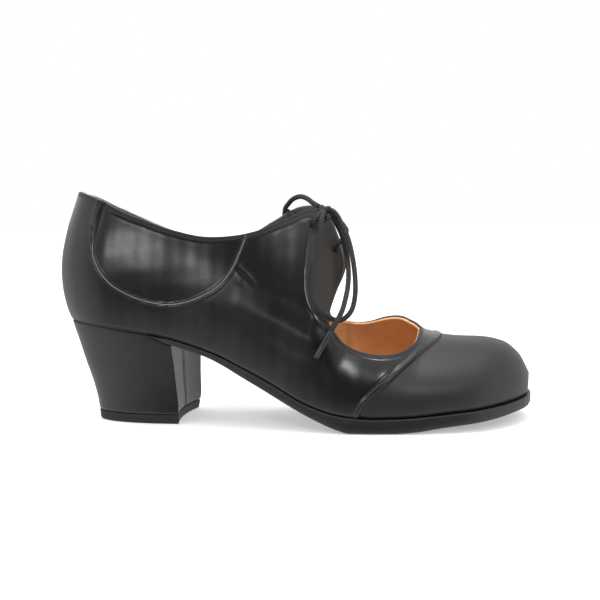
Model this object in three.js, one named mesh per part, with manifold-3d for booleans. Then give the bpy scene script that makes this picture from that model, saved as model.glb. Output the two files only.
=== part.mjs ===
// Laced flamenco shoe, right foot: hollow leather upper on a Cuban heel with a thin leather sole.
// Millimetres. +X toe, +Y inner (medial) side of the foot, +Z up.
// The origin is the centre of the heel's ground face, on the floor.
import * as THREE from 'three';
import { mergeVertices } from 'three/addons/utils/BufferGeometryUtils.js';
import Module from 'manifold-3d';

const wasm = await Module();
wasm.setup();

// Driving sizes
const LENGTH = 250; // back of the counter to the tip of the toe
const BALL_WIDTH = 88; // outside width of the upper at the joints of the toes
const HEEL_HEIGHT = 53.5; // floor to the heel seat at the back
const COLLAR_HEIGHT = 121; // floor to the peak at the back of the collar
const BACK_X = -45; // the rearmost point of the counter
const WALL = 1.7; // leather and lining of the vamp and quarters
const OVERLAY = 0.8; // the counter and vamp leather that lies over cap and side panel
const WELT = 1.4; // how far the sole stands out past the upper
const SOLE_ROUND = 1.3; // rounding of the sole's lower edge
const INSOLE = 2; // insole thickness
const SEAT_GAP = 0.3; // gap between pieces that meet
const HEEL_BASE_LENGTH = 49;
const HEEL_BASE_WIDTH = 42;
const LIFT = 4.7; // thickness of the heel's top-piece
const LACE = 2.6; // thickness of the woven lace
const EYELET = 4.6; // width of a lace hole
const FLAP_GAP_Y = -3; // the plane that parts the outer flap's cut from the inner one's

// A smooth curve through the rows of a table, one named column against another
function curve(rows, key, value) {
  const n = rows.length;
  const x = rows.map((row) => row[key]);
  const y = rows.map((row) => row[value]);
  const chord = x.slice(1).map((next, i) => (y[i + 1] - y[i]) / (next - x[i]));
  const slope = x.map((_, i) => {
    if (i === 0) return chord[0];
    if (i === n - 1) return chord[n - 2];
    if (chord[i - 1] * chord[i] <= 0) return 0;
    return (2 * chord[i - 1] * chord[i]) / (chord[i - 1] + chord[i]);
  });
  return (at) => {
    const t = Math.min(Math.max(at, x[0]), x[n - 1]);
    let i = 0;
    while (i < n - 2 && t > x[i + 1]) i += 1;
    const width = x[i + 1] - x[i];
    const u = (t - x[i]) / width;
    const a = (1 + 2 * u) * (1 - u) * (1 - u);
    const b = u * (1 - u) * (1 - u);
    const c = u * u * (3 - 2 * u);
    const d = u * u * (u - 1);
    return a * y[i] + b * width * slope[i] + c * y[i + 1] + d * width * slope[i + 1];
  };
}

// The foot of the last, one row to a section, from the heel to the toe.
// at: where it stands, share of LENGTH from the back. rise: its height, share of HEEL_HEIGHT.
// bend, outer, inner: its middle line and half widths, shares of BALL_WIDTH.
// swell: how far the side bulges past it, share of BALL_WIDTH. square: how boxy the section is.
const FOOT_LINE = [
  { at: 0.034, rise: 1.019, bend: 0.000, outer: 0.305, inner: 0.305, swell: 0.035, square: 4.0 },
  { at: 0.084, rise: 1.000, bend: 0.000, outer: 0.310, inner: 0.308, swell: 0.035, square: 4.0 },
  { at: 0.164, rise: 0.949, bend: -0.002, outer: 0.315, inner: 0.305, swell: 0.035, square: 4.0 },
  { at: 0.253, rise: 0.874, bend: -0.008, outer: 0.315, inner: 0.290, swell: 0.035, square: 4.0 },
  { at: 0.353, rise: 0.734, bend: -0.018, outer: 0.330, inner: 0.265, swell: 0.040, square: 4.0 },
  { at: 0.432, rise: 0.561, bend: -0.022, outer: 0.355, inner: 0.265, swell: 0.040, square: 3.4 },
  { at: 0.487, rise: 0.425, bend: -0.020, outer: 0.380, inner: 0.290, swell: 0.038, square: 3.0 },
  { at: 0.531, rise: 0.305, bend: -0.012, outer: 0.410, inner: 0.325, swell: 0.034, square: 2.7 },
  { at: 0.566, rise: 0.234, bend: -0.006, outer: 0.430, inner: 0.360, swell: 0.030, square: 2.5 },
  { at: 0.601, rise: 0.182, bend: 0.000, outer: 0.448, inner: 0.395, swell: 0.026, square: 2.4 },
  { at: 0.641, rise: 0.151, bend: 0.006, outer: 0.462, inner: 0.430, swell: 0.022, square: 2.5 },
  { at: 0.691, rise: 0.140, bend: 0.014, outer: 0.472, inner: 0.462, swell: 0.020, square: 2.5 },
  { at: 0.751, rise: 0.148, bend: 0.026, outer: 0.474, inner: 0.475, swell: 0.018, square: 2.6 },
  { at: 0.821, rise: 0.175, bend: 0.042, outer: 0.462, inner: 0.458, swell: 0.016, square: 2.7 },
  { at: 0.881, rise: 0.199, bend: 0.056, outer: 0.438, inner: 0.430, swell: 0.014, square: 2.7 },
  { at: 0.931, rise: 0.222, bend: 0.066, outer: 0.405, inner: 0.398, swell: 0.012, square: 2.6 },
  { at: 0.971, rise: 0.240, bend: 0.070, outer: 0.375, inner: 0.370, swell: 0.010, square: 2.5 },
  { at: 0.999, rise: 0.256, bend: 0.070, outer: 0.360, inner: 0.355, swell: 0.008, square: 2.5 },
];

// The top of the same sections. topAt, topRise, topBend: the top point, shares of LENGTH,
// COLLAR_HEIGHT and BALL_WIDTH. leg: half width of the open leg there, share of BALL_WIDTH.
const TOP_LINE = [
  { at: 0.034, topAt: 0.064, topRise: 1.019, topBend: 0.000, leg: 0.320 },
  { at: 0.084, topAt: 0.109, topRise: 1.037, topBend: 0.000, leg: 0.330 },
  { at: 0.164, topAt: 0.199, topRise: 1.043, topBend: 0.000, leg: 0.345 },
  { at: 0.253, topAt: 0.319, topRise: 1.038, topBend: 0.000, leg: 0.350 },
  { at: 0.353, topAt: 0.439, topRise: 1.034, topBend: 0.000, leg: 0.345 },
  { at: 0.432, topAt: 0.529, topRise: 1.030, topBend: 0.000, leg: 0.330 },
  { at: 0.487, topAt: 0.586, topRise: 1.028, topBend: 0.000, leg: 0.300 },
  { at: 0.531, topAt: 0.621, topRise: 1.027, topBend: 0.010, leg: 0.270 },
  { at: 0.566, topAt: 0.635, topRise: 0.774, topBend: 0.015, leg: 0.255 },
  { at: 0.601, topAt: 0.650, topRise: 0.576, topBend: 0.020, leg: 0.255 },
  { at: 0.641, topAt: 0.689, topRise: 0.490, topBend: 0.025, leg: 0.255 },
  { at: 0.691, topAt: 0.734, topRise: 0.462, topBend: 0.035, leg: 0.255 },
  { at: 0.751, topAt: 0.789, topRise: 0.371, topBend: 0.045, leg: 0.255 },
  { at: 0.821, topAt: 0.853, topRise: 0.350, topBend: 0.055, leg: 0.255 },
  { at: 0.881, topAt: 0.906, topRise: 0.345, topBend: 0.062, leg: 0.255 },
  { at: 0.931, topAt: 0.947, topRise: 0.328, topBend: 0.068, leg: 0.255 },
  { at: 0.971, topAt: 0.981, topRise: 0.275, topBend: 0.070, leg: 0.255 },
  { at: 0.999, topAt: 1.002, topRise: 0.191, topBend: 0.070, leg: 0.255 },
];
const HEEL_END = FOOT_LINE[0].at;
const TOE_END = FOOT_LINE[FOOT_LINE.length - 1].at;
const HEEL_ROUND = 0.115; // length of the round end at the heel, share of LENGTH
const TOE_ROUND = 0.135; // and at the toe
const LEG_FRONT = 0.530; // the section whose top is the front of the open leg
const BACK_SWELL = 0.030; // how far the counter bulges back, share of LENGTH
const columnsOf = (rows) => Object.keys(rows[0]).slice(1).map((name) => [name, curve(rows, 'at', name)]);
const column = Object.fromEntries([...columnsOf(FOOT_LINE), ...columnsOf(TOP_LINE)]);

const smooth = (t) => t * t * (3 - 2 * t);
const clamp = (t, low, high) => Math.min(Math.max(t, low), high);
const xOf = (share) => BACK_X + share * LENGTH;

// How far the plan has opened between its round ends, 0 at the tips and 1 in the middle
function plan(at) {
  const back = clamp((at - HEEL_END) / HEEL_ROUND, 0, 1);
  const front = clamp((TOE_END - at) / TOE_ROUND, 0, 1);
  return (1 - (1 - back) ** 2.3) ** (1 / 2.1) * (1 - (1 - front) ** 2.3) ** (1 / 2.1);
}

// A point of the upper's surface. side is -1 for the outer side and 1 for the inner side,
// height goes from 0 at the sole to 1 at the top of the section.
function surface(at, height, side) {
  const top = height ** column.square(at);
  const opened = at < LEG_FRONT ? clamp((at - HEEL_END) / (LEG_FRONT - HEEL_END), 0, 1) ** 3.6 : 1;
  const closing = Math.max(0, 1 - opened * top) ** (1 / 2.2);
  const foot = BALL_WIDTH * (side < 0 ? column.outer(at) : column.inner(at));
  const leg = BALL_WIDTH * column.leg(at);
  const legShare = smooth(clamp((LEG_FRONT + 0.07 - at) / 0.2, 0, 1)) * smooth(height);
  const swell = BALL_WIDTH * column.swell(at) * Math.sin(Math.PI * Math.min(1, height * 1.25) ** 0.8);
  const half = (foot + (leg - foot) * legShare + swell) * plan(at) * closing;
  const middle = BALL_WIDTH * (column.bend(at) + (column.topBend(at) - column.bend(at)) * height ** 2);
  const back = BACK_SWELL * smooth(clamp(1 - (at - HEEL_END) / 0.3, 0, 1));
  const x = xOf(at + (column.topAt(at) - at) * height - back * Math.sin(Math.PI * height ** 0.85));
  const low = HEEL_HEIGHT * column.rise(at);
  const high = COLLAR_HEIGHT * column.topRise(at);
  return new THREE.Vector3(x, middle + side * half, low + (high - low) * height);
}

// The way out of the surface at a point, square to it
function outward(at, height, side) {
  const room = Math.min(at - HEEL_END, TOE_END - at);
  const closed = height >= 1 && at >= LEG_FRONT;
  const stepUp = closed ? 0.003 : Math.min(0.003, Math.max(0.5 * (1 - height), 0.0005));
  const low = clamp(height - stepUp, 0, 1);
  const up = surface(at, clamp(height + stepUp, 0, 1), side).sub(surface(at, low, side));
  if (room < 1e-6) return new THREE.Vector3(-up.z, 0, up.x).multiplyScalar(at > 0.5 ? -1 : 1).normalize();
  const step = Math.min(0.003, 0.5 * room);
  const along = surface(at + step, height, side).sub(surface(at - step, height, side));
  if (closed) return new THREE.Vector3(-along.z, 0, along.x).normalize();
  return along.cross(up).multiplyScalar(-side).normalize();
}

const offsetSurface = (at, height, side, distance) => (
  surface(at, height, side).addScaledVector(outward(at, height, side), distance)
);

// Closed mesh through rings of points, with a lid at each end unless that ring is a line or a point
function loft(rings) {
  const position = rings.flat().flatMap((p) => [p.x, p.y, p.z]);
  const index = [];
  const size = rings[0].length;
  for (let i = 0; i < rings.length - 1; i += 1) {
    for (let j = 0; j < size; j += 1) {
      const a = i * size + j;
      const b = i * size + ((j + 1) % size);
      index.push(a, b, b + size, a, b + size, a + size);
    }
  }
  for (const [ring, turned] of [[0, true], [rings.length - 1, false]]) {
    const middle = new THREE.Vector3();
    rings[ring].forEach((p) => middle.add(p));
    middle.divideScalar(size);
    const hub = position.length / 3;
    position.push(middle.x, middle.y, middle.z);
    for (let j = 0; j < size; j += 1) {
      const a = ring * size + j;
      const b = ring * size + ((j + 1) % size);
      index.push(...(turned ? [b, a, hub] : [a, b, hub]));
    }
  }
  const geometry = new THREE.BufferGeometry();
  geometry.setAttribute('position', new THREE.Float32BufferAttribute(position, 3));
  geometry.setIndex(index);
  return geometry;
}

// A solid for joins and cuts, with its faces turned out
function solid(geometry) {
  const bare = geometry.clone();
  bare.deleteAttribute('normal');
  bare.deleteAttribute('uv');
  const merged = mergeVertices(bare, 1e-3);
  const position = merged.attributes.position.array;
  const kept = [];
  const corners = merged.index.array;
  for (let i = 0; i < corners.length; i += 3) {
    const [a, b, c] = [corners[i], corners[i + 1], corners[i + 2]];
    if (a !== b && b !== c && c !== a) kept.push(a, b, c);
  }
  let volume = 0;
  const [p, q, r] = [new THREE.Vector3(), new THREE.Vector3(), new THREE.Vector3()];
  for (let i = 0; i < kept.length; i += 3) {
    p.fromArray(position, kept[i] * 3);
    q.fromArray(position, kept[i + 1] * 3);
    r.fromArray(position, kept[i + 2] * 3);
    volume += p.dot(q.cross(r));
  }
  if (volume < 0) {
    for (let i = 0; i < kept.length; i += 3) [kept[i + 1], kept[i + 2]] = [kept[i + 2], kept[i + 1]];
  }
  return new wasm.Manifold(new wasm.Mesh({
    numProp: 3,
    vertProperties: new Float32Array(position),
    triVerts: new Uint32Array(kept),
  }));
}

function geometryOf(body) {
  const mesh = body.getMesh();
  const geometry = new THREE.BufferGeometry();
  geometry.setAttribute('position', new THREE.Float32BufferAttribute(mesh.vertProperties, 3));
  geometry.setIndex([...mesh.triVerts]);
  return geometry;
}

// Sections from the heel to the toe, close together round the two ends
function sections(ends, middle) {
  const quarter = (i) => 1 - Math.cos((Math.PI / 2) * (i / ends));
  const heel = Array.from({ length: ends }, (_, i) => HEEL_END + HEEL_ROUND * quarter(i));
  const toe = Array.from({ length: ends }, (_, i) => TOE_END - TOE_ROUND * quarter(i)).reverse();
  const from = HEEL_END + HEEL_ROUND;
  const step = (TOE_END - TOE_ROUND - from) / middle;
  const between = Array.from({ length: middle }, (_, i) => from + i * step);
  return [...heel, ...between, TOE_END - TOE_ROUND, ...toe];
}

// Rings of the upper's surface, at a distance from it. The hollow's rings go on past both openings.
function upperRings(distance, ends, middle, levels, past = 0) {
  return sections(ends, middle).map((at) => {
    const open = at < LEG_FRONT;
    const wall = (side) => {
      const points = Array.from({ length: levels + 1 }, (_, j) => {
        const t = j / levels;
        const height = open ? 1 - (1 - t) ** 1.15 : 1 - (1 - t) ** 1.9;
        return offsetSurface(at, height, side, distance);
      });
      if (past > 0) {
        points.unshift(points[0].clone().setZ(points[0].z - past));
        points.push(points[levels + 1].clone());
        if (open) points[levels + 2].z += past;
      }
      return points;
    };
    return [...wall(-1), ...wall(1).reverse()];
  });
}

// A solid cut-out drawn in the side view, between two planes across the shoe
function sideCutter(points, fromY, toY) {
  const shape = new THREE.Shape(points.map(([x, z]) => new THREE.Vector2(x, z)));
  const geometry = new THREE.ExtrudeGeometry(shape, { depth: toY - fromY, bevelEnabled: false });
  geometry.rotateX(Math.PI / 2);
  geometry.translate(0, toY, 0);
  return solid(geometry);
}

// Points along a smooth curve through the corners given, in the side view
function through(corners, count) {
  const points = corners.map(([x, z]) => new THREE.Vector3(x, 0, z));
  const line = new THREE.CatmullRomCurve3(points, false, 'centripetal');
  return line.getPoints(count).map((p) => [p.x, p.z]);
}

// Lines of the pattern, drawn in the side view.
// at: share of LENGTH from the back. rise: share of COLLAR_HEIGHT.
const sideLine = (rows, count) => through(rows.map((row) => [xOf(row.at), COLLAR_HEIGHT * row.rise]), count);
const OUTER_COLLAR = [
  { at: 0.039, rise: 1.005 },
  { at: 0.064, rise: 1.004 },
  { at: 0.0895, rise: 0.998 },
  { at: 0.114, rise: 0.983 },
  { at: 0.134, rise: 0.967 },
  { at: 0.157, rise: 0.942 },
  { at: 0.175, rise: 0.923 },
  { at: 0.195, rise: 0.905 },
  { at: 0.226, rise: 0.881 },
  { at: 0.258, rise: 0.856 },
  { at: 0.287, rise: 0.837 },
  { at: 0.337, rise: 0.813 },
  { at: 0.387, rise: 0.81 },
  { at: 0.447, rise: 0.827 },
  { at: 0.508, rise: 0.872 },
  { at: 0.553, rise: 0.911 },
  { at: 0.57, rise: 0.909 },
];
const OUTER_FLAP = [
  { at: 0.57, rise: 0.909 },
  { at: 0.575, rise: 0.89 },
  { at: 0.574, rise: 0.868 },
  { at: 0.5715, rise: 0.823 },
  { at: 0.5665, rise: 0.763 },
  { at: 0.5635, rise: 0.702 },
  { at: 0.561, rise: 0.638 },
  { at: 0.5625, rise: 0.582 },
  { at: 0.5685, rise: 0.534 },
  { at: 0.58, rise: 0.493 },
  { at: 0.5945, rise: 0.456 },
  { at: 0.608, rise: 0.414 },
  { at: 0.624, rise: 0.37 },
  { at: 0.653, rise: 0.335 },
  { at: 0.693, rise: 0.317 },
  { at: 0.728, rise: 0.319 },
  { at: 0.755, rise: 0.337 },
  { at: 0.771, rise: 0.362 },
  { at: 0.776, rise: 0.391 },
];
const INNER_COLLAR = [
  { at: 0.039, rise: 1.005 },
  { at: 0.0625, rise: 0.991 },
  { at: 0.072, rise: 0.976 },
  { at: 0.084, rise: 0.957 },
  { at: 0.098, rise: 0.938 },
  { at: 0.114, rise: 0.921 },
  { at: 0.131, rise: 0.903 },
  { at: 0.148, rise: 0.886 },
  { at: 0.165, rise: 0.87 },
  { at: 0.184, rise: 0.852 },
  { at: 0.22, rise: 0.822 },
  { at: 0.257, rise: 0.799 },
  { at: 0.337, rise: 0.772 },
  { at: 0.397, rise: 0.792 },
  { at: 0.457, rise: 0.858 },
  { at: 0.513, rise: 0.917 },
  { at: 0.553, rise: 0.926 },
  { at: 0.577, rise: 0.916 },
  { at: 0.583, rise: 0.9 },
];
const INNER_FLAP = [
  { at: 0.583, rise: 0.9 },
  { at: 0.584, rise: 0.882 },
  { at: 0.587, rise: 0.858 },
  { at: 0.591, rise: 0.833 },
  { at: 0.596, rise: 0.801 },
  { at: 0.602, rise: 0.765 },
  { at: 0.6085, rise: 0.728 },
  { at: 0.612, rise: 0.69 },
  { at: 0.6125, rise: 0.655 },
  { at: 0.6095, rise: 0.624 },
  { at: 0.603, rise: 0.589 },
  { at: 0.594, rise: 0.551 },
  { at: 0.5855, rise: 0.509 },
  { at: 0.5785, rise: 0.472 },
  { at: 0.5735, rise: 0.438 },
  { at: 0.578, rise: 0.414 },
  { at: 0.591, rise: 0.399 },
  { at: 0.61, rise: 0.3885 },
  { at: 0.635, rise: 0.384 },
  { at: 0.66, rise: 0.387 },
  { at: 0.703, rise: 0.413 },
  { at: 0.735, rise: 0.416 },
  { at: 0.76, rise: 0.398 },
  { at: 0.776, rise: 0.396 },
];
const CAP_SEAM = [
  { at: 0.842, rise: 0.399 },
  { at: 0.823, rise: 0.364 },
  { at: 0.797, rise: 0.336 },
  { at: 0.779, rise: 0.315 },
  { at: 0.761, rise: 0.29 },
  { at: 0.741, rise: 0.259 },
  { at: 0.71, rise: 0.204 },
  { at: 0.685, rise: 0.159 },
  { at: 0.669, rise: 0.126 },
  { at: 0.658, rise: 0.09 },
  { at: 0.65, rise: 0.03 },
];
// The one pair of lace holes
const OUTER_EYELET = { at: 0.564, rise: 0.854, side: -1 };
const INNER_EYELET = { at: 0.595, rise: 0.728, side: 1 };
const SIDE_PANEL = [
  { at: 0.152, rise: 1.046 },
  { at: 0.1335, rise: 0.964 },
  { at: 0.123, rise: 0.912 },
  { at: 0.1185, rise: 0.86 },
  { at: 0.1155, rise: 0.8 },
  { at: 0.1145, rise: 0.755 },
  { at: 0.124, rise: 0.692 },
  { at: 0.148, rise: 0.623 },
  { at: 0.183, rise: 0.577 },
  { at: 0.225, rise: 0.545 },
  { at: 0.267, rise: 0.532 },
  { at: 0.305, rise: 0.541 },
  { at: 0.348, rise: 0.575 },
  { at: 0.38, rise: 0.618 },
  { at: 0.405, rise: 0.681 },
  { at: 0.418, rise: 0.737 },
  { at: 0.43, rise: 0.8 },
  { at: 0.44, rise: 0.886 },
];

const SKY = 2 * COLLAR_HEIGHT;
const WIDE = BALL_WIDTH;

// What is cut away above the top edge, on one side of the shoe
function openingCutter(collar, flap, fromY, toY) {
  const edge = [...sideLine(collar, 30), ...sideLine(flap, 40).slice(1)];
  const front = edge[edge.length - 1][0];
  const back = xOf(-HEEL_ROUND);
  return sideCutter([...edge, [front, SKY], [back, SKY], [back, edge[0][1]]], fromY, toY);
}

// What lies below the foot line of the last
function underFoot() {
  const [from, to, count] = [-0.05, 1.05, 60];
  const line = Array.from({ length: count + 1 }, (_, i) => {
    const at = from + ((to - from) * i) / count;
    return [xOf(at), HEEL_HEIGHT * column.rise(at)];
  });
  return sideCutter([...line, [xOf(to), -SKY], [xOf(from), -SKY]], -WIDE, WIDE);
}

// The section and height at which the surface passes a place given in the side view
function placeOn(eyelet) {
  const x = xOf(eyelet.at);
  const z = COLLAR_HEIGHT * eyelet.rise;
  let [at, height] = [eyelet.at - 0.06, 0.8];
  for (let i = 0; i < 30; i += 1) {
    const here = surface(at, height, eyelet.side);
    const dx = x - here.x;
    const dz = z - here.z;
    const d = 0.001;
    const a = surface(at + d, height, eyelet.side).sub(here).divideScalar(d);
    const h = surface(at, height + d, eyelet.side).sub(here).divideScalar(d);
    const det = a.x * h.z - h.x * a.z;
    at += clamp((dx * h.z - h.x * dz) / det, -0.02, 0.02);
    height = clamp(height + clamp((a.x * dz - dx * a.z) / det, -0.05, 0.05), 0, 0.999);
  }
  return { point: surface(at, height, eyelet.side), normal: outward(at, height, eyelet.side) };
}

// A punched lace hole, square to the leather
function punch(eyelet) {
  const { point, normal } = placeOn(eyelet);
  const geometry = new THREE.CylinderGeometry(EYELET / 2, EYELET / 2, 12, 12);
  geometry.applyQuaternion(new THREE.Quaternion().setFromUnitVectors(new THREE.Vector3(0, 1, 0), normal));
  geometry.translate(point.x, point.y, point.z);
  return solid(geometry);
}

function buildUpper() {
  const core = solid(loft(upperRings(0, 8, 28, 10)));
  const cover = solid(loft(upperRings(OVERLAY, 8, 28, 10)));
  const hollow = solid(loft(upperRings(-WALL, 7, 22, 9, 25)));
  const seam = sideLine(CAP_SEAM, 16);
  const cap = sideCutter([...seam, [xOf(1.1), seam[16][1]], [xOf(1.1), SKY], [seam[0][0], SKY]], -WIDE, WIDE);
  const panel = sideLine(SIDE_PANEL, 30);
  const moon = sideCutter(panel, -WIDE, WIDE);
  let body = cover.subtract(cap).subtract(moon).add(core).subtract(hollow);
  body = body.subtract(openingCutter(OUTER_COLLAR, OUTER_FLAP, -WIDE, FLAP_GAP_Y));
  body = body.subtract(openingCutter(INNER_COLLAR, INNER_FLAP, FLAP_GAP_Y, WIDE));
  body = body.subtract(underFoot());
  for (const eyelet of [OUTER_EYELET, INNER_EYELET]) body = body.subtract(punch(eyelet));
  return geometryOf(body.simplify(0.01));
}

// The sole's ground line. at: share of LENGTH from the back. lift: share of HEEL_HEIGHT.
const GROUND = [
  { at: 0.218, lift: 0.893 },
  { at: 0.253, lift: 0.827 },
  { at: 0.288, lift: 0.771 },
  { at: 0.343, lift: 0.688 },
  { at: 0.432, lift: 0.462 },
  { at: 0.541, lift: 0.175 },
  { at: 0.580, lift: 0.087 },
  { at: 0.612, lift: 0.027 },
  { at: 0.636, lift: 0.000 },
  { at: 0.720, lift: 0.000 },
  { at: 0.765, lift: 0.012 },
  { at: 0.820, lift: 0.047 },
  { at: 0.892, lift: 0.082 },
  { at: 0.933, lift: 0.104 },
  { at: 0.965, lift: 0.124 },
  { at: 1.011, lift: 0.146 },
];
const groundShare = curve(GROUND, 'at', 'lift');
const groundAt = (x) => HEEL_HEIGHT * groundShare((x - BACK_X) / LENGTH);
const footAt = (x) => HEEL_HEIGHT * column.rise((x - BACK_X) / LENGTH);
const TAIL = GROUND[0].at; // where the tapered end of the sole stops, over the heel

// A point of the foot line seen from above, moved out in plan
function footLine(at, side, out) {
  const step = 0.002;
  const a = clamp(at, HEEL_END + 2 * step, TOE_END - 2 * step);
  const along = surface(a + step, 0, side).sub(surface(a - step, 0, side)).setZ(0).normalize();
  const normal = new THREE.Vector3(-side * along.y, side * along.x, 0);
  if (at >= TOE_END) normal.set(1, 0, 0);
  if (at <= HEEL_END) normal.set(-1, 0, 0);
  return surface(at, 0, side).addScaledVector(normal, out);
}

// Across one section of the sole, from the outer top edge round the bottom to the inner top edge
function buildOutsole() {
  const stations = [...sections(9, 40).filter((at) => at > TAIL + 0.01)];
  stations.unshift(TAIL);
  const rings = stations.map((at) => {
    const half = (side) => {
      const edge = footLine(at, side, WELT);
      const inside = footLine(at, side, WELT - SOLE_ROUND);
      const top = edge.clone().setZ(footAt(edge.x) - SEAT_GAP);
      const thick = Math.max(top.z - groundAt(edge.x), 0.4);
      const round = Math.min(SOLE_ROUND, 0.4 * thick);
      return [
        top,
        edge.clone().setZ(top.z - thick + round),
        inside.clone().setZ(top.z - thick),
      ];
    };
    const outer = half(-1);
    const inner = half(1);
    return [...outer, ...inner.reverse()];
  });
  return geometryOf(solid(loft(rings)));
}

function buildInsole() {
  const inset = -(WALL + SEAT_GAP);
  const stations = sections(7, 26).slice(1, -1);
  const rings = stations.map((at) => {
    const half = (side) => {
      const edge = footLine(at, side, inset);
      return [edge.clone().setZ(footAt(edge.x)), edge.clone().setZ(footAt(edge.x) + INSOLE)];
    };
    const outer = half(-1);
    const inner = half(1);
    return [outer[0], outer[1], inner[1], inner[0]];
  });
  return geometryOf(solid(loft(rings)));
}

// The heel's plan at several heights. rise: share of HEEL_HEIGHT. back, front: shares of
// HEEL_BASE_LENGTH from the origin. half: share of HEEL_BASE_WIDTH.
const HEEL = [
  { rise: 0.00, back: 0.500, front: 0.472, half: 0.500, turn: 0.029 },
  { rise: 0.17, back: 0.520, front: 0.474, half: 0.502, turn: 0.061 },
  { rise: 0.35, back: 0.562, front: 0.464, half: 0.520, turn: 0.069 },
  { rise: 0.60, back: 0.645, front: 0.452, half: 0.572, turn: 0.078 },
  { rise: 0.82, back: 0.712, front: 0.438, half: 0.630, turn: 0.082 },
  { rise: 1.00, back: 0.768, front: 0.430, half: 0.664, turn: 0.086 },
  { rise: 1.20, back: 0.800, front: 0.426, half: 0.680, turn: 0.086 },
];
const heelBack = curve(HEEL, 'rise', 'back');
const heelFront = curve(HEEL, 'rise', 'front');
const heelHalf = curve(HEEL, 'rise', 'half');
const heelTurn = curve(HEEL, 'rise', 'turn');
const BREAST_HOLLOW = 2.6; // how far the breast curves in across the heel

function heelRing(z, steps = 12) {
  const rise = z / HEEL_HEIGHT;
  const back = -HEEL_BASE_LENGTH * heelBack(rise);
  const front = (across) => HEEL_BASE_LENGTH * (heelFront(rise) + (heelTurn(rise) * (1 + across)) / 2);
  const half = HEEL_BASE_WIDTH * heelHalf(rise);
  const side = (sign) => Array.from({ length: steps + 1 }, (_, i) => {
    const angle = (Math.PI / 2) * (i / steps);
    const x = front(sign) + (back - front(sign)) * Math.sin(angle) ** 0.92;
    return new THREE.Vector3(x, sign * half * Math.cos(angle) ** 0.80, z);
  });
  const breast = [-0.6, -0.2, 0.2, 0.6].map((share) => (
    new THREE.Vector3(front(share) - BREAST_HOLLOW * (1 - share ** 2), share * half, z)
  ));
  const outer = side(-1).slice(0, steps);
  const inner = side(1).reverse();
  return [...outer, ...inner, ...breast.reverse()];
}

// What lies above the heel seat, and above the end of the sole on it
function seatCutter() {
  const from = xOf(HEEL_END) - 10;
  const seat = Array.from({ length: 18 }, (_, i) => {
    const x = from + (xOf(TAIL) - from) * (i / 17);
    return [x, footAt(x) - SEAT_GAP];
  });
  const tail = Array.from({ length: 9 }, (_, i) => {
    const x = xOf(TAIL) - SEAT_GAP + i * 2.4;
    return [x, groundAt(x) - SEAT_GAP];
  });
  seat[17][0] -= SEAT_GAP;
  const end = tail[8][0];
  return sideCutter([...seat, ...tail, [end, SKY], [from, SKY]], -WIDE, WIDE);
}

function buildHeel() {
  const levels = [LIFT + SEAT_GAP, 9, 18, 27, 36, 44, 52, 60];
  return geometryOf(solid(loft(levels.map((z) => heelRing(z)))).subtract(seatCutter()));
}

function buildLift() {
  return geometryOf(solid(loft([0, LIFT].map((z) => heelRing(z)))));
}

// The lace. Its routes are laid by hand, each a list of x, y, z along the middle of the cord, in
// a shoe with the length, ball width and collar height of LAID.
const LAID = [250, 88, 121];
const inShoe = ([x, y, z]) => (
  new THREE.Vector3((x * LENGTH) / LAID[0], (y * BALL_WIDTH) / LAID[1], (z * COLLAR_HEIGHT) / LAID[2])
);
const LACE_BAR = [
  [101.2, -18.6, 101.1], [100.4, -18.9, 101.2], [98.9, -19.4, 101.5], [96.9, -19.6, 101.6], [95.5, -20.9, 102.0],
  [95.5, -22.8, 102.7], [95.9, -25.1, 103.4], [96.5, -27.3, 103.9], [98.3, -28.2, 103.8], [101.2, -27.0, 103.5],
  [103.1, -23.5, 102.2], [104.5, -15.0, 99.6], [107.3, 0.0, 95.8], [110.9, 14.0, 91.3], [111.6, 20.0, 89.9],
  [110.4, 24.6, 89.0], [108.1, 27.0, 88.8], [105.5, 27.6, 89.1], [104.0, 26.2, 88.7], [103.5, 23.9, 88.1],
  [103.1, 21.6, 87.5], [103.3, 19.5, 88.3], [104.9, 17.1, 90.9], [108.0, 15.8, 94.3], [110.0, 13.0, 97.8],
  [109.3, 6.0, 101.3], [106.5, -4.0, 105.4], [104.5, -10.6, 108.3], [103.6, -13.3, 109.4],
];
const OUTER_LOOP = [
  [101.5, -23.2, 109.2], [101.3, -26.4, 108.1], [101.1, -29.9, 105.9], [100.9, -31.4, 101.3],
  [100.3, -32.0, 95.9], [99.2, -32.8, 90.3], [97.2, -35.2, 81.8], [96.7, -38.0, 74.6], [97.1, -40.6, 68.5],
  [99.0, -41.2, 64.1], [102.4, -39.3, 59.8], [105.8, -33.0, 56.6], [109.3, -27.8, 55.3],
  [112.5, -24.0, 56.7], [114.9, -21.6, 60.0], [116.4, -20.0, 66.2], [116.5, -17.9, 75.7],
  [115.2, -16.6, 86.3], [112.8, -16.4, 96.5], [109.6, -16.6, 103.6], [107.9, -16.9, 107.0],
];
const OUTER_END = [
  [105.7, -14.8, 106.3], [106.1, -14.2, 105.2], [107.0, -13.2, 103.3], [108.1, -12.3, 100.9], [110.4, -11.8, 94.7],
  [112.1, -12.2, 86.5], [112.9, -14.2, 77.9], [112.6, -18.2, 70.6], [111.7, -25.0, 64.7],
  [110.6, -33.0, 60.1], [108.7, -38.4, 56.3], [106.8, -41.0, 53.3], [106.1, -41.3, 51.9],
];
const AGLET = [
  [105.9, -41.4, 51.6], [98.5, -42.8, 38.6],
];
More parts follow.
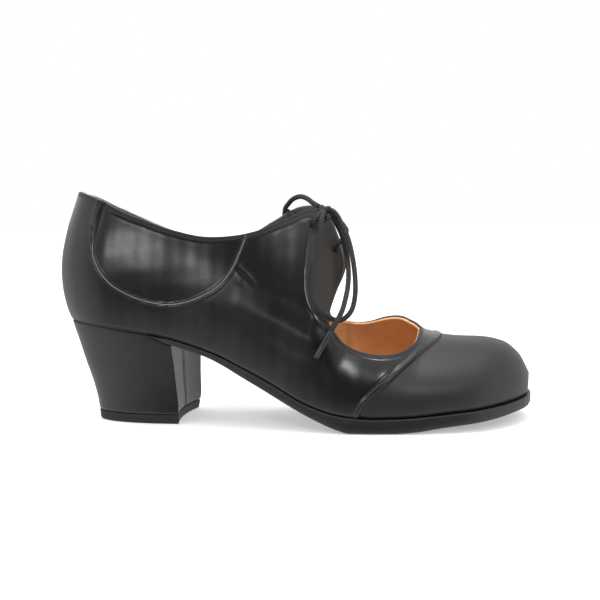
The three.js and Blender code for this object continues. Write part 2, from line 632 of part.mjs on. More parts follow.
const INNER_LOOP = [
  [98.1, -14.2, 112.2], [94.8, -10.5, 113.9], [91.4, -5.0, 116.0], [86.8, 3.0, 117.2], [81.6, 12.0, 115.8],
  [77.9, 19.0, 113.0], [75.7, 24.2, 110.7], [74.9, 28.9, 108.7], [74.1, 30.2, 102.3], [73.5, 30.0, 91.8],
  [75.3, 30.8, 81.8], [79.7, 31.8, 75.3], [85.1, 32.0, 75.2], [90.1, 31.0, 81.0], [93.3, 28.8, 91.0],
  [94.7, 27.0, 101.0], [95.3, 26.0, 109.4], [95.7, 21.8, 114.3], [96.5, 12.0, 114.2], [97.5, 1.0, 113.0],
  [98.5, -9.0, 111.4], [98.9, -13.0, 110.6],
];
const KNOT = [[102.0, -18.0, 108.4], [4.7, 3.6, 5.6]]; // its middle and its half sizes
const AGLET_WIDTH = 2.8;

// A round bar bent along a route
function tube(points, width, steps, sides = 8) {
  const line = points.map(inShoe);
  const bent = line.length > 2;
  const path = bent ? new THREE.CatmullRomCurve3(line, false, 'centripetal') : new THREE.LineCurve3(...line);
  const corners = Array.from({ length: sides }, (_, i) => {
    const angle = (2 * Math.PI * i) / sides;
    return new THREE.Vector2((Math.cos(angle) * width) / 2, (Math.sin(angle) * width) / 2);
  });
  const options = { steps, extrudePath: path, bevelEnabled: false };
  return new THREE.ExtrudeGeometry(new THREE.Shape(corners), options);
}

function knot() {
  const geometry = new THREE.SphereGeometry(1, 16, 12);
  geometry.scale(...inShoe(KNOT[1]).toArray());
  geometry.translate(...inShoe(KNOT[0]).toArray());
  return geometry;
}

const shoe = new THREE.Group();
function addPiece(name, geometry, colour, roughness) {
  const material = new THREE.MeshStandardMaterial({ color: colour, roughness, metalness: 0 });
  const mesh = new THREE.Mesh(geometry, material);
  mesh.name = name;
  shoe.add(mesh);
}

addPiece('upper', buildUpper(), 0x242222, 0.35);
addPiece('insole', buildInsole(), 0xa8744a, 0.6);
addPiece('outsole', buildOutsole(), 0x3a3838, 0.6);
addPiece('heel_block', buildHeel(), 0x3c3c3b, 0.4);
addPiece('heel_lift', buildLift(), 0x302e2e, 0.7);
addPiece('lace_bar', tube(LACE_BAR, LACE, 70), 0x333333, 0.8);
addPiece('lace_knot', knot(), 0x333333, 0.8);
addPiece('lace_outer_loop', tube(OUTER_LOOP, LACE, 40), 0x333333, 0.8);
addPiece('lace_inner_loop', tube(INNER_LOOP, LACE, 40), 0x333333, 0.8);
addPiece('lace_end', tube(OUTER_END, LACE, 22), 0x333333, 0.8);
addPiece('lace_aglet', tube(AGLET, AGLET_WIDTH, 3, 12), 0x2a2a2a, 0.4);

export default shoe;
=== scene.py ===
"""A laced flamenco shoe, right foot: leather upper, toe cap and side panel, covered heel, woven lace."""

import math

import bpy
import bmesh
import numpy as np
from mathutils import Matrix, Vector
from mathutils.kdtree import KDTree


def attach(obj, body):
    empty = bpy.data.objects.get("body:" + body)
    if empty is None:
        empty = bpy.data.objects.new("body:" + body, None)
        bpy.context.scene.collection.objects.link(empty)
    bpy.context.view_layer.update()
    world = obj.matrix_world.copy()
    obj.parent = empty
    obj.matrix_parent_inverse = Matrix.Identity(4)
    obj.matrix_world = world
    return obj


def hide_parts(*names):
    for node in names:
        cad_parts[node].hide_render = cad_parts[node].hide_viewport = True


bl_info = {
    "name": "Laced flamenco shoe",
    "version": (1, 0, 0),
    "blender": (4, 5, 0),
    "location": "View3D > Sidebar > Shoe",
    "description": "Builds a black laced flamenco shoe on its packed frame",
    "category": "Add Mesh",
}

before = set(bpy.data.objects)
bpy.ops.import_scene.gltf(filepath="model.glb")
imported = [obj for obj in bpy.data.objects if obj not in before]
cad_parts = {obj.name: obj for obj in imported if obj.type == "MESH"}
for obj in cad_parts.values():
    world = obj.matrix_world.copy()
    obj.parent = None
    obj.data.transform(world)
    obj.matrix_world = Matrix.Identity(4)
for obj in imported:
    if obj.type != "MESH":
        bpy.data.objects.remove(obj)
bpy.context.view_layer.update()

MM = 0.001

# The shoe's sizes in millimetres, as in the part's source
LENGTH = 250.0
BALL_WIDTH = 88.0
HEEL_HEIGHT = 53.5
COLLAR_HEIGHT = 121.0
BACK_X = -45.0
WALL = 1.7
OVERLAY = 0.8  # how far the overlaid leathers stand up
WELT = 1.4  # how far the sole's edge stands out
SOLE_ROUND = 1.3
INSOLE = 2.0
SEAT_GAP = 0.3
HEEL_BASE_LENGTH = 49.0
HEEL_BASE_WIDTH = 42.0
BREAST_HOLLOW = 2.6
LIFT = 4.7
LACE = 2.6
EYELET = 3.0
AGLET_WIDTH = 2.8
# Shares of the length: the round ends of the plan, the front of the leg, the swell of the back
HEEL_ROUND = 0.115
TOE_ROUND = 0.135
LEG_FRONT = 0.530
BACK_SWELL = 0.030
# The height of the collar's edge at the back, as a share of the form's
BACK_EDGE = 0.968
OUTER, INNER = -1, 1  # the outer side of the foot is towards -Y

# The foot of the last, from heel to toe, in shares of the sizes above
# columns: at, rise, bend, outer, inner, swell, square
FOOT_LINE = (
    (0.034, 1.019, 0.0, 0.305, 0.305, 0.035, 4.0), (0.084, 1.0, 0.0, 0.31, 0.308, 0.035, 4.0),
    (0.164, 0.949, -0.002, 0.315, 0.305, 0.035, 4.0), (0.253, 0.874, -0.008, 0.315, 0.29, 0.035, 4.0),
    (0.353, 0.734, -0.018, 0.33, 0.265, 0.04, 4.0), (0.432, 0.561, -0.022, 0.355, 0.265, 0.04, 3.4),
    (0.487, 0.425, -0.02, 0.38, 0.29, 0.038, 3.0), (0.531, 0.305, -0.012, 0.41, 0.325, 0.034, 2.7),
    (0.566, 0.234, -0.006, 0.43, 0.36, 0.03, 2.5), (0.601, 0.182, 0.0, 0.448, 0.395, 0.026, 2.4),
    (0.641, 0.151, 0.006, 0.462, 0.43, 0.022, 2.5), (0.691, 0.14, 0.014, 0.472, 0.462, 0.02, 2.5),
    (0.751, 0.148, 0.026, 0.474, 0.475, 0.018, 2.6), (0.821, 0.175, 0.042, 0.462, 0.458, 0.016, 2.7),
    (0.881, 0.199, 0.056, 0.438, 0.43, 0.014, 2.7), (0.931, 0.222, 0.066, 0.405, 0.398, 0.012, 2.6),
    (0.971, 0.24, 0.07, 0.375, 0.37, 0.01, 2.5), (0.999, 0.256, 0.07, 0.36, 0.355, 0.008, 2.5),
)

# The top of the same sections
# columns: at, topAt, topRise, topBend, leg
TOP_LINE = (
    (0.034, 0.064, 1.019, 0.0, 0.32), (0.084, 0.109, 1.037, 0.0, 0.33), (0.164, 0.199, 1.043, 0.0, 0.345),
    (0.253, 0.319, 1.038, 0.0, 0.35), (0.353, 0.439, 1.034, 0.0, 0.345), (0.432, 0.529, 1.03, 0.0, 0.33),
    (0.487, 0.586, 1.028, 0.0, 0.3), (0.531, 0.621, 1.027, 0.01, 0.27), (0.566, 0.635, 0.774, 0.015, 0.255),
    (0.601, 0.65, 0.576, 0.02, 0.255), (0.641, 0.689, 0.49, 0.025, 0.255),
    (0.691, 0.734, 0.462, 0.035, 0.255), (0.751, 0.789, 0.371, 0.045, 0.255),
    (0.821, 0.853, 0.35, 0.055, 0.255), (0.881, 0.906, 0.345, 0.062, 0.255),
    (0.931, 0.947, 0.328, 0.068, 0.255), (0.971, 0.981, 0.275, 0.07, 0.255),
    (0.999, 1.002, 0.191, 0.07, 0.255),
)

# Lines of the pattern in the side view, in shares of LENGTH and COLLAR_HEIGHT: the collar first
# columns: at, rise
OUTER_COLLAR = (
    (0.039, 1.005), (0.064, 1.004), (0.0895, 0.998), (0.114, 0.983), (0.134, 0.967), (0.157, 0.942),
    (0.175, 0.923), (0.195, 0.905), (0.226, 0.881), (0.258, 0.856), (0.287, 0.837), (0.337, 0.813),
    (0.387, 0.81), (0.447, 0.827), (0.508, 0.872), (0.553, 0.911), (0.57, 0.909),
)

# The outer flap's front edge and the outer side of the vamp opening
# columns: at, rise
OUTER_FLAP = (
    (0.57, 0.909), (0.575, 0.89), (0.574, 0.868), (0.5715, 0.823), (0.5665, 0.763), (0.5635, 0.702),
    (0.561, 0.638), (0.5625, 0.582), (0.5685, 0.534), (0.58, 0.493), (0.5945, 0.456), (0.608, 0.414),
    (0.624, 0.37), (0.653, 0.335), (0.693, 0.317), (0.728, 0.319), (0.755, 0.337), (0.771, 0.362),
    (0.776, 0.391),
)

# The collar on the inner side
# columns: at, rise
INNER_COLLAR = (
    (0.039, 1.005), (0.0625, 0.991), (0.072, 0.976), (0.084, 0.957), (0.098, 0.938), (0.114, 0.921),
    (0.131, 0.903), (0.148, 0.886), (0.165, 0.87), (0.184, 0.852), (0.22, 0.822), (0.257, 0.799),
    (0.337, 0.772), (0.397, 0.792), (0.457, 0.858), (0.513, 0.917), (0.553, 0.926), (0.577, 0.916),
    (0.583, 0.9),
)

# The inner flap's front edge and the inner side of the vamp opening
# columns: at, rise
INNER_FLAP = (
    (0.583, 0.9), (0.584, 0.882), (0.587, 0.858), (0.591, 0.833), (0.596, 0.801), (0.602, 0.765),
    (0.6085, 0.728), (0.612, 0.69), (0.6125, 0.655), (0.6095, 0.624), (0.603, 0.589), (0.594, 0.551),
    (0.5855, 0.509), (0.5785, 0.472), (0.5735, 0.438), (0.578, 0.414), (0.591, 0.399), (0.61, 0.3885),
    (0.635, 0.384), (0.66, 0.387), (0.703, 0.413), (0.735, 0.416), (0.76, 0.398), (0.776, 0.396),
)

# The seam of the toe cap
# columns: at, rise
CAP_SEAM = (
    (0.842, 0.399), (0.823, 0.364), (0.797, 0.336), (0.779, 0.315), (0.761, 0.29), (0.741, 0.259),
    (0.71, 0.204), (0.685, 0.159), (0.669, 0.126), (0.658, 0.09), (0.65, 0.03),
)

# The seam of the half-moon side panel
# columns: at, rise
SIDE_PANEL = (
    (0.152, 1.046), (0.1335, 0.964), (0.123, 0.912), (0.1185, 0.86), (0.1155, 0.8), (0.1145, 0.755),
    (0.124, 0.692), (0.148, 0.623), (0.183, 0.577), (0.225, 0.545), (0.267, 0.532), (0.305, 0.541),
    (0.348, 0.575), (0.38, 0.618), (0.405, 0.681), (0.418, 0.737), (0.43, 0.8), (0.44, 0.886),
)

# The underside of the sole
# columns: at, lift
GROUND = (
    (0.218, 0.893), (0.253, 0.827), (0.288, 0.771), (0.343, 0.688), (0.432, 0.462), (0.541, 0.175),
    (0.58, 0.087), (0.612, 0.027), (0.636, 0.0), (0.72, 0.0), (0.765, 0.012), (0.82, 0.047), (0.892, 0.082),
    (0.933, 0.104), (0.965, 0.124), (1.011, 0.146),
)

# The heel's plan at several heights
# columns: rise, back, front, half, turn
HEEL = (
    (0.0, 0.5, 0.472, 0.5, 0.029), (0.17, 0.52, 0.474, 0.502, 0.061), (0.35, 0.562, 0.464, 0.52, 0.069),
    (0.6, 0.645, 0.452, 0.572, 0.078), (0.82, 0.712, 0.438, 0.63, 0.082), (1.0, 0.768, 0.43, 0.664, 0.086),
    (1.2, 0.8, 0.426, 0.68, 0.086),
)

# Routes along the middle of the lace, as x, y, z in mm
LACE_BAR = (
    (97.6, -19.3, 101.7), (95.9, -21.0, 102.3), (95.6, -23.0, 102.9), (95.9, -25.2, 103.5),
    (96.6, -27.4, 104.3), (98.0, -28.4, 105.9), (99.6, -27.2, 108.0), (100.8, -23.5, 109.6),
    (102.0, -18.5, 109.8), (103.6, -13.3, 109.4), (104.5, -10.6, 108.3), (106.5, -4.0, 105.4),
    (109.3, 6.0, 101.3), (110.0, 13.0, 97.8), (108.0, 15.8, 94.3), (104.9, 17.1, 90.9), (103.3, 19.5, 88.3),
    (103.1, 21.6, 87.5), (103.3, 24.5, 87.4),
)
OUTER_LOOP = (
    (101.5, -23.2, 109.2), (101.3, -26.4, 108.1), (101.1, -29.9, 105.9), (100.9, -31.4, 101.3),
    (100.3, -32.0, 95.9), (99.2, -32.8, 90.3), (97.2, -35.2, 81.8), (96.7, -38.0, 74.6),
    (97.1, -40.6, 68.5), (99.0, -41.2, 64.1), (102.4, -39.3, 59.8), (105.8, -33.0, 56.6),
    (109.3, -27.8, 55.3), (112.5, -24.0, 56.7), (114.9, -21.6, 60.0), (116.4, -20.0, 66.2),
    (116.5, -17.9, 75.7), (115.2, -16.6, 86.3), (112.8, -16.4, 96.5), (109.6, -16.6, 103.6),
    (107.8, -16.9, 107.3), (105.4, -17.6, 109.9), (102.4, -18.4, 110.2),
)
INNER_LOOP = (
    (98.1, -14.2, 112.2), (94.8, -10.5, 113.9), (91.4, -5.0, 116.0), (86.8, 3.0, 117.2),
    (81.6, 12.0, 115.8), (77.9, 19.0, 113.0), (75.7, 24.2, 110.7), (74.6, 28.9, 108.2), (73.8, 30.4, 102.3),
    (73.2, 31.0, 91.8), (75.0, 31.8, 81.8), (79.7, 32.4, 75.3), (84.4, 32.2, 76.0), (87.2, 31.4, 83.0),
    (86.2, 30.8, 93.0), (81.6, 30.4, 100.5), (78.2, 28.6, 106.8), (77.3, 24.6, 109.0), (79.6, 18.0, 107.4),
    (85.0, 9.0, 105.2), (90.0, 0.0, 104.8), (95.0, -8.0, 106.6), (98.4, -13.2, 109.4),
)
OUTER_END = (
    (102.0, -17.2, 108.6), (104.6, -15.4, 107.2), (106.1, -14.2, 105.2), (107.0, -13.2, 103.3),
    (108.1, -12.3, 100.9), (110.4, -11.8, 94.7), (112.1, -12.2, 86.5), (112.9, -14.2, 77.9),
    (112.6, -18.2, 70.6), (111.7, -25.0, 64.7), (110.6, -33.0, 60.1), (108.7, -38.4, 56.3),
    (106.8, -41.0, 53.3), (106.1, -41.3, 51.9),
)
AGLET = ((105.9, -41.4, 51.6), (98.5, -42.8, 38.6))
# The punched holes: at, rise
OUTER_EYELET = (0.564, 0.854)
INNER_EYELET = (0.595, 0.728)

SIDES = ((OUTER, OUTER_COLLAR, OUTER_FLAP), (INNER, INNER_COLLAR, INNER_FLAP))
# Where the vamp opening ends and the closed ridge to the toe begins
RIDGE_AT = 0.7361
# Mesh columns along the top edge and along the ridge, and rows up the skin and the lining
OPEN_COLUMNS, RIDGE_COLUMNS, SKIN_ROWS, LINING_ROWS = 330, 72, 64, 30
# How far the columns spread out below the flap, in mm
FLAP_SPREAD = {OUTER: 34, INNER: 62}


def curve(rows, column):
    """A smooth curve through one column of a table against its first column."""
    x = np.array([row[0] for row in rows])
    y = np.array([row[column] for row in rows])
    chord = np.diff(y) / np.diff(x)
    slope = np.empty(len(x))
    slope[0], slope[-1] = chord[0], chord[-1]
    for i in range(1, len(x) - 1):
        both = chord[i - 1] * chord[i]
        slope[i] = 0.0 if both <= 0 else 2 * both / (chord[i - 1] + chord[i])

    def value(at):
        t = np.clip(at, x[0], x[-1])
        i = np.clip(np.searchsorted(x, t) - 1, 0, len(x) - 2)
        width = x[i + 1] - x[i]
        u = (t - x[i]) / width
        return (
            (1 + 2 * u) * (1 - u) ** 2 * y[i]
            + u * (1 - u) ** 2 * width * slope[i]
            + u * u * (3 - 2 * u) * y[i + 1]
            + u * u * (u - 1) * width * slope[i + 1]
        )

    return value


rise, bend, outer_half, inner_half, swell, square = (curve(FOOT_LINE, i) for i in range(1, 7))
top_at, top_rise, top_bend, leg_half = (curve(TOP_LINE, i) for i in range(1, 5))
ground_share = curve(GROUND, 1)
heel_back, heel_front, heel_half, heel_turn = (curve(HEEL, i) for i in range(1, 5))
HEEL_END, TOE_END = FOOT_LINE[0][0], FOOT_LINE[-1][0]
TAIL = GROUND[0][0]


def smooth(t):
    t = np.clip(t, 0, 1)
    return t * t * (3 - 2 * t)


def x_of(share):
    return BACK_X + share * LENGTH


def share_of(x):
    return (x - BACK_X) / LENGTH


def foot_at(x):
    return HEEL_HEIGHT * rise(share_of(x))


def ground_at(x):
    return HEEL_HEIGHT * ground_share(share_of(x))


def plan(at):
    """How far the plan has opened between its round ends."""
    back = np.clip((at - HEEL_END) / HEEL_ROUND, 0, 1)
    front = np.clip((TOE_END - at) / TOE_ROUND, 0, 1)
    return (1 - (1 - back) ** 2.3) ** (1 / 2.1) * (1 - (1 - front) ** 2.3) ** (1 / 2.1)


def surface(at, height, side):
    """Points of the upper's surface: at along the last, height from the sole to the top."""
    at, height = np.broadcast_arrays(np.asarray(at, float), np.asarray(height, float))
    opened = np.where(at < LEG_FRONT, np.clip((at - HEEL_END) / (LEG_FRONT - HEEL_END), 0, 1) ** 3.6, 1)
    closing = np.maximum(0, 1 - opened * height ** square(at)) ** (1 / 2.2)
    foot = BALL_WIDTH * (outer_half(at) if side < 0 else inner_half(at))
    leg_share = smooth((LEG_FRONT + 0.07 - at) / 0.2) * smooth(height)
    out = BALL_WIDTH * swell(at) * np.sin(np.pi * np.minimum(1, height * 1.25) ** 0.8)
    half = (foot + (BALL_WIDTH * leg_half(at) - foot) * leg_share + out) * plan(at) * closing
    middle = BALL_WIDTH * (bend(at) + (top_bend(at) - bend(at)) * height**2)
    back = BACK_SWELL * smooth(1 - (at - HEEL_END) / 0.3)
    x = x_of(at + (top_at(at) - at) * height - back * np.sin(np.pi * height**0.85))
    low, high = HEEL_HEIGHT * rise(at), COLLAR_HEIGHT * top_rise(at)
    return np.stack([x, middle + side * half, low + (high - low) * height], -1)


def unit(v):
    return v / np.maximum(np.linalg.norm(v, axis=-1, keepdims=True), 1e-12)


def outward(at, height, side):
    """The way out of the surface, square to it."""
    at, height = np.broadcast_arrays(np.asarray(at, float), np.asarray(height, float))
    room = np.minimum(at - HEEL_END, TOE_END - at)
    closed = (height >= 1) & (at >= LEG_FRONT)
    step_up = np.where(closed, 0.003, np.minimum(0.003, np.maximum(0.5 * (1 - height), 0.0005)))
    up = surface(at, np.clip(height + step_up, 0, 1), side) - surface(at, np.clip(height - step_up, 0, 1), side)
    step = np.clip(0.5 * room, 1e-6, 0.003)
    along = surface(at + step, height, side) - surface(at - step, height, side)
    way = np.cross(along, up) * -side
    ridge = np.stack([-along[..., 2], 0 * at, along[..., 0]], -1)
    way = np.where(closed[..., None], ridge, way)
    turned = np.where(at > 0.5, -1.0, 1.0)
    tip = np.stack([-up[..., 2] * turned, 0 * at, up[..., 0] * turned], -1)
    way = np.where((room < 1e-6)[..., None], tip, way)
    return unit(way)


def through(points, count):
    """Points along a smooth curve through corners, evenly in its parameter."""
    p = np.array(points, float)
    ends = [2 * p[0] - p[1], *p, 2 * p[-1] - p[-2]]
    out = []
    for step in np.linspace(0, len(p) - 1, count + 1):
        i = min(int(step), len(p) - 2)
        a, b, c, d = ends[i : i + 4]
        t0, t1, t2 = (max(np.linalg.norm(v - u) ** 0.5, 1e-4) for u, v in ((a, b), (b, c), (c, d)))
        m1 = ((b - a) / t0 - (c - a) / (t0 + t1) + (c - b) / t1) * t1
        m2 = ((c - b) / t1 - (d - b) / (t1 + t2) + (d - c) / t2) * t1
        u = step - i
        out.append(b + m1 * u + (3 * (c - b) - 2 * m1 - m2) * u**2 + (2 * (b - c) + m1 + m2) * u**3)
    return np.array(out)


def side_line(rows, count):
    return through([(x_of(at), COLLAR_HEIGHT * up) for at, up in rows], count)


def run_along(points):
    """Length of a polyline up to each of its points."""
    return np.concatenate([[0], np.cumsum(np.linalg.norm(np.diff(points, axis=0), axis=1))])


def evenly(points, step):
    """A polyline resampled at even steps along its length."""
    length = run_along(points)
    s = np.linspace(0, length[-1], max(2, int(round(length[-1] / step))) + 1)
    return np.stack([np.interp(s, length, points[:, k]) for k in range(points.shape[1])], -1)


def place(points, side):
    """at and height of the surface points that stand at x, z in the side view, and how far off they are."""
    points = np.asarray(points, float)
    grid_at = np.concatenate([[HEEL_END, HEEL_END + 0.001], np.linspace(HEEL_END + 0.003, TOE_END, 240)])
    grid_up = np.linspace(0.0, 1.0, 101)
    a, h = np.meshgrid(grid_at, grid_up, indexing="ij")
    where = surface(a, h, side)[..., (0, 2)].reshape(-1, 2)
    tree = KDTree(len(where))
    for i, q in enumerate(where):
        tree.insert((q[0], q[1], 0), i)
    tree.balance()
    index = np.array([tree.find((q[0], q[1], 0))[1] for q in points])
    at, height = a.ravel()[index].copy(), h.ravel()[index].copy()
    d = 0.0005
    for _ in range(25):
        at = np.clip(at, HEEL_END, TOE_END - d)
        height = np.clip(height, 0, 1 - d)
        here = surface(at, height, side)[..., (0, 2)]
        off = points - here
        da = (surface(at + d, height, side)[..., (0, 2)] - here) / d
        dh = (surface(at, height + d, side)[..., (0, 2)] - here) / d
        det = da[:, 0] * dh[:, 1] - dh[:, 0] * da[:, 1]
        det = np.where(np.abs(det) < 1e-9, 1e-9, det)
        at = at + np.clip((off[:, 0] * dh[:, 1] - dh[:, 0] * off[:, 1]) / det, -0.01, 0.01)
        height = height + np.clip((da[:, 0] * off[:, 1] - off[:, 0] * da[:, 1]) / det, -0.04, 0.04)
    at, height = np.clip(at, HEEL_END, TOE_END), np.clip(height, 0, 1)
    off = np.linalg.norm(points - surface(at, height, side)[..., (0, 2)], axis=1)
    return at, height, off


def edge_of(collar, flap, side):
    """The upper's top edge in at and height: collar, flap, vamp opening, then the ridge to the toe."""
    line = np.vstack([evenly(side_line(collar, 60), 0.25), evenly(side_line(flap, 120), 0.25)[1:]])
    at, height, off = place(line, side)
    kept = (off < 0.05) & (height < 0.965) | (at < 0.7) & (off < 0.05)
    at, height = at[kept], height[kept]
    at = np.concatenate([[HEEL_END], at, [RIDGE_AT]])
    height = np.concatenate([[BACK_EDGE], height, [1.0]])
    fine = np.linspace(0, 1, len(at) * 4) ** 1.6 * (len(at) - 1)
    return tuple(np.interp(fine, np.arange(len(at)), v) for v in (at, height))


def columns_of(side, collar, flap):
    """The mesh columns of one side: at at the foot, and at and height at the top edge."""
    at, height = edge_of(collar, flap, side)
    run = run_along(surface(at, height, side))
    s = np.linspace(0, run[-1], OPEN_COLUMNS + 1)
    at, height = np.interp(s, run, at), np.interp(s, run, height)
    # the foot end of each column: the same way along the last, spread out under the flap
    step = s[1] - s[0]
    reach = int(FLAP_SPREAD[side] / step)
    padded = np.concatenate([2 * at[0] - at[reach:0:-1], at, 2 * at[-1] - at[-2 : -reach - 2 : -1]])
    weights = np.hanning(2 * reach + 1)
    spread = np.convolve(padded, weights / weights.sum(), "valid")
    share = smooth((at - 0.36) / 0.12) * smooth((RIDGE_AT - at) / 0.06)
    lean = 0.035 * np.exp(-(((spread - 0.556) / 0.035) ** 2)) if side > 0 else 0.0
    foot = np.maximum.accumulate(at * (1 - share) + (spread - lean) * share)
    foot[0], foot[-1] = HEEL_END, RIDGE_AT
    t = np.arange(1, RIDGE_COLUMNS + 1) / RIDGE_COLUMNS
    ridge = TOE_END - (TOE_END - RIDGE_AT) * (1 - t) ** 1.8
    at = np.concatenate([at, ridge])
    height = np.concatenate([height, np.ones(RIDGE_COLUMNS)])
    return np.concatenate([foot, ridge]), at, height


def grid_of(columns, rows):
    """at and height over the side, its rows evenly spread up each column."""
    foot, at, height = columns
    power = 1.1 + 0.8 * smooth((height - 0.8) / 0.2) * smooth((at - 0.6) / 0.06)
    t = np.arange(rows + 1) / rows
    up = 1 - (1 - t[None, :]) ** power[:, None]
    return foot[:, None] + (at - foot)[:, None] * up, height[:, None] * up


def distance_to(line, points):
    """Distance from each point to a polyline."""
    tree = KDTree(len(line))
    for i, q in enumerate(line):
        tree.insert(q, i)
    tree.balance()
    index = np.array([tree.find(q)[1] for q in points])
    best = np.full(len(points), 1e9)
    for shift in (-1, 0):
        a = np.clip(index + shift, 0, len(line) - 2)
        p, q = line[a], line[a + 1]
        d = q - p
        t = np.clip(((points - p) * d).sum(1) / np.maximum((d * d).sum(1), 1e-12), 0, 1)
        best = np.minimum(best, np.linalg.norm(points - p - d * t[:, None], axis=1))
    return best


def inside(polygon, points):
    """Which points of the side view lie inside a closed outline."""
    x, z = points[:, 0], points[:, 1]
    result = np.zeros(len(points), bool)
    for (x1, z1), (x2, z2) in zip(polygon, np.roll(polygon, -1, axis=0)):
        crosses = (z1 > z) != (z2 > z)
        if z1 == z2:
            continue
        result ^= crosses & (x < x1 + (z - z1) * (x2 - x1) / (z2 - z1))
    return result


PANEL_LINE = side_line(SIDE_PANEL, 120)
CAP_LINE = side_line(CAP_SEAM, 80)
PANEL_OUTLINE = np.vstack([PANEL_LINE, [[PANEL_LINE[-1][0], 200], [PANEL_LINE[0][0], 200]]])
CAP_OUTLINE = np.vstack([CAP_LINE, [[240, -20], [240, 120], [CAP_LINE[0][0], 120]]])


def seam_on(line, side):
    """A seam of the side view laid on the surface: its points there and the ways out."""
    at, height, off = place(evenly(line, 0.5), side)
    at, height = at[off < 0.2], height[off < 0.2]
    return surface(at, height, side), outward(at, height, side)


# Creases of the worn vamp and quarter: from x, z to x, z, width and depth in mm, troughs below 0
OUTER_CREASES = (
    (58.5, 84.0, 67.5, 75.0, 1.1, -0.28), (57.0, 83.0, 66.0, 73.5, 1.6, 0.16),
    (59.0, 75.0, 64.0, 75.2, 0.9, -0.18), (60.0, 64.0, 104.0, 43.0, 5.5, 0.4),
    (62.0, 57.0, 100.0, 37.0, 5.0, -0.3), (78.0, 66.0, 98.0, 55.0, 4.5, -0.18),
    (98.0, 34.0, 106.0, 20.0, 5.0, -0.15), (108.0, 33.0, 118.0, 19.0, 5.0, 0.10),
    (72.0, 74.0, 92.0, 66.0, 4.0, 0.20),
)
INNER_CREASES = (
    (60.0, 62.0, 104.0, 42.0, 4.5, 0.55), (64.0, 54.0, 98.0, 37.0, 4.0, -0.40),
    (62.0, 80.0, 72.0, 73.0, 1.4, -0.22), (104.0, 38.0, 114.0, 22.0, 3.5, -0.30),
    (118.0, 34.0, 132.0, 22.0, 4.0, 0.22),
)


def creases(points, rows):
    total = np.zeros(len(points))
    for x0, z0, x1, z1, width, depth in rows:
        a, b = np.array([x0, z0]), np.array([x1, z1])
        d = b - a
        t = np.clip(((points - a) @ d) / (d @ d), 0, 1)
        off = np.linalg.norm(points - a - t[:, None] * d, axis=1)
        ends = np.sin(np.pi * np.clip(0.08 + 0.84 * t, 0, 1)) ** 0.7
        total += depth * ends * np.exp(-((off / width) ** 2))
    return total


def ripple(points):
    """The slight unevenness of lasted leather."""
    x, y, z = points.T
    return 0.05 * (
        np.sin(0.21 * x + 0.13 * z + 0.6) * np.sin(0.17 * z - 0.05 * x + 1.9)
        + 0.6 * np.sin(0.43 * x - 0.31 * z + 0.11 * y) * np.sin(0.27 * z + 0.36 * x)
    )


# The counter's strap gapes behind this x and above this z, in mm
STRAP_FRONT, STRAP_LOW = 10, 92
# Folds, stitch channels and ridges beside the edges: the field that they follow, how far from the edge,
# width and height, in mm
BEADS = (
    ("panel", -0.9, 0.7, 0.10), ("panel", -2.1, 0.5, -0.10), ("cap", -1.2, 1.0, 0.50), ("cap", -3.2, 0.9, -0.25),
    ("fold", 0.0, 0.9, 0.08), ("fold", 1.8, 0.5, -0.18), ("fold", 3.0, 0.7, 0.06),
)
BLANK = {"panel": -30.0, "cap": -30.0, "fold": 30.0, "groove": 0.0}


def bump_at(field, middle, width):
    return np.exp(-(((field - middle) / width) ** 2))


def side_sheet(side, distance, columns, rows, detail):
    """Points of one side's skin, with the fields that its leather's finish and painted shade follow."""
    at, height = grid_of(columns, rows)
    shape = at.shape
    a, h = at.ravel(), height.ravel()
    base = surface(a, h, side)
    way = outward(a, h, side)
    view = base[:, (0, 2)]
    panel, cap, fold, groove = (np.full(len(a), v) for v in BLANK.values())
    if detail:
        panel, cap = (
            distance_to(seam_on(line, side)[0], base) * np.where(inside(outline, view), 1, -1)
            for line, outline in ((PANEL_LINE, PANEL_OUTLINE), (CAP_LINE, CAP_OUTLINE))
        )
        last = OPEN_COLUMNS + 1
        fold = distance_to(surface(columns[1][:last], columns[2][:last], side), base)
        over = 1 - smooth(panel / 0.9 + 0.5) - smooth(cap / 0.9 + 0.5)
        lift = OVERLAY * np.clip(over, 0, 1)
        # the folded edges stand a little proud, and stitching pulls a shallow channel behind them
        fields = {"panel": panel, "cap": cap, "fold": fold}
        for name, middle, width, proud in BEADS:
            lift += proud * bump_at(fields[name], middle, width)
        # the counter's strap stands off the quarter where it turns over the collar
        behind = view[:, 0] < STRAP_FRONT
        gape = smooth((view[:, 1] - STRAP_LOW) / 18) * behind
        width = 0.5 + 0.9 * gape
        wedge = np.exp(-(((panel - 0.9 * width) / width) ** 4)) * (0.25 + 0.75 * gape) * behind
        lift += 0.5 * gape * bump_at(panel, -1.0, 1.2) - 0.7 * gape * wedge
        # the leather is drawn under the last, against the heel seat and the sole
        rise = view[:, 1] - foot_at(view[:, 0])
        lift -= 0.6 * bump_at(rise, 0.0, 1.0)
        # painted shade: a dark line where the leather tucks in along the heel seat and the sole, and in the wedge
        # beside the strap
        groove = np.maximum(wedge, 0.97 * np.exp(-((rise / np.where(view[:, 0] < 40, 1.7, 0.55)) ** 4)))
        # no raw edge shows where the strap stands off
        panel = panel + np.sign(panel) * 3 * gape
        lift += creases(view, OUTER_CREASES if side < 0 else INNER_CREASES) * smooth(fold / 6)
        lift += ripple(base) * smooth(fold / 4)
        distance = distance + lift
    points = base + way * np.broadcast_to(distance, a.shape)[:, None]
    return points.reshape(*shape, 3), [f.reshape(shape) for f in (panel, cap, fold, groove)], way.reshape(*shape, 3)


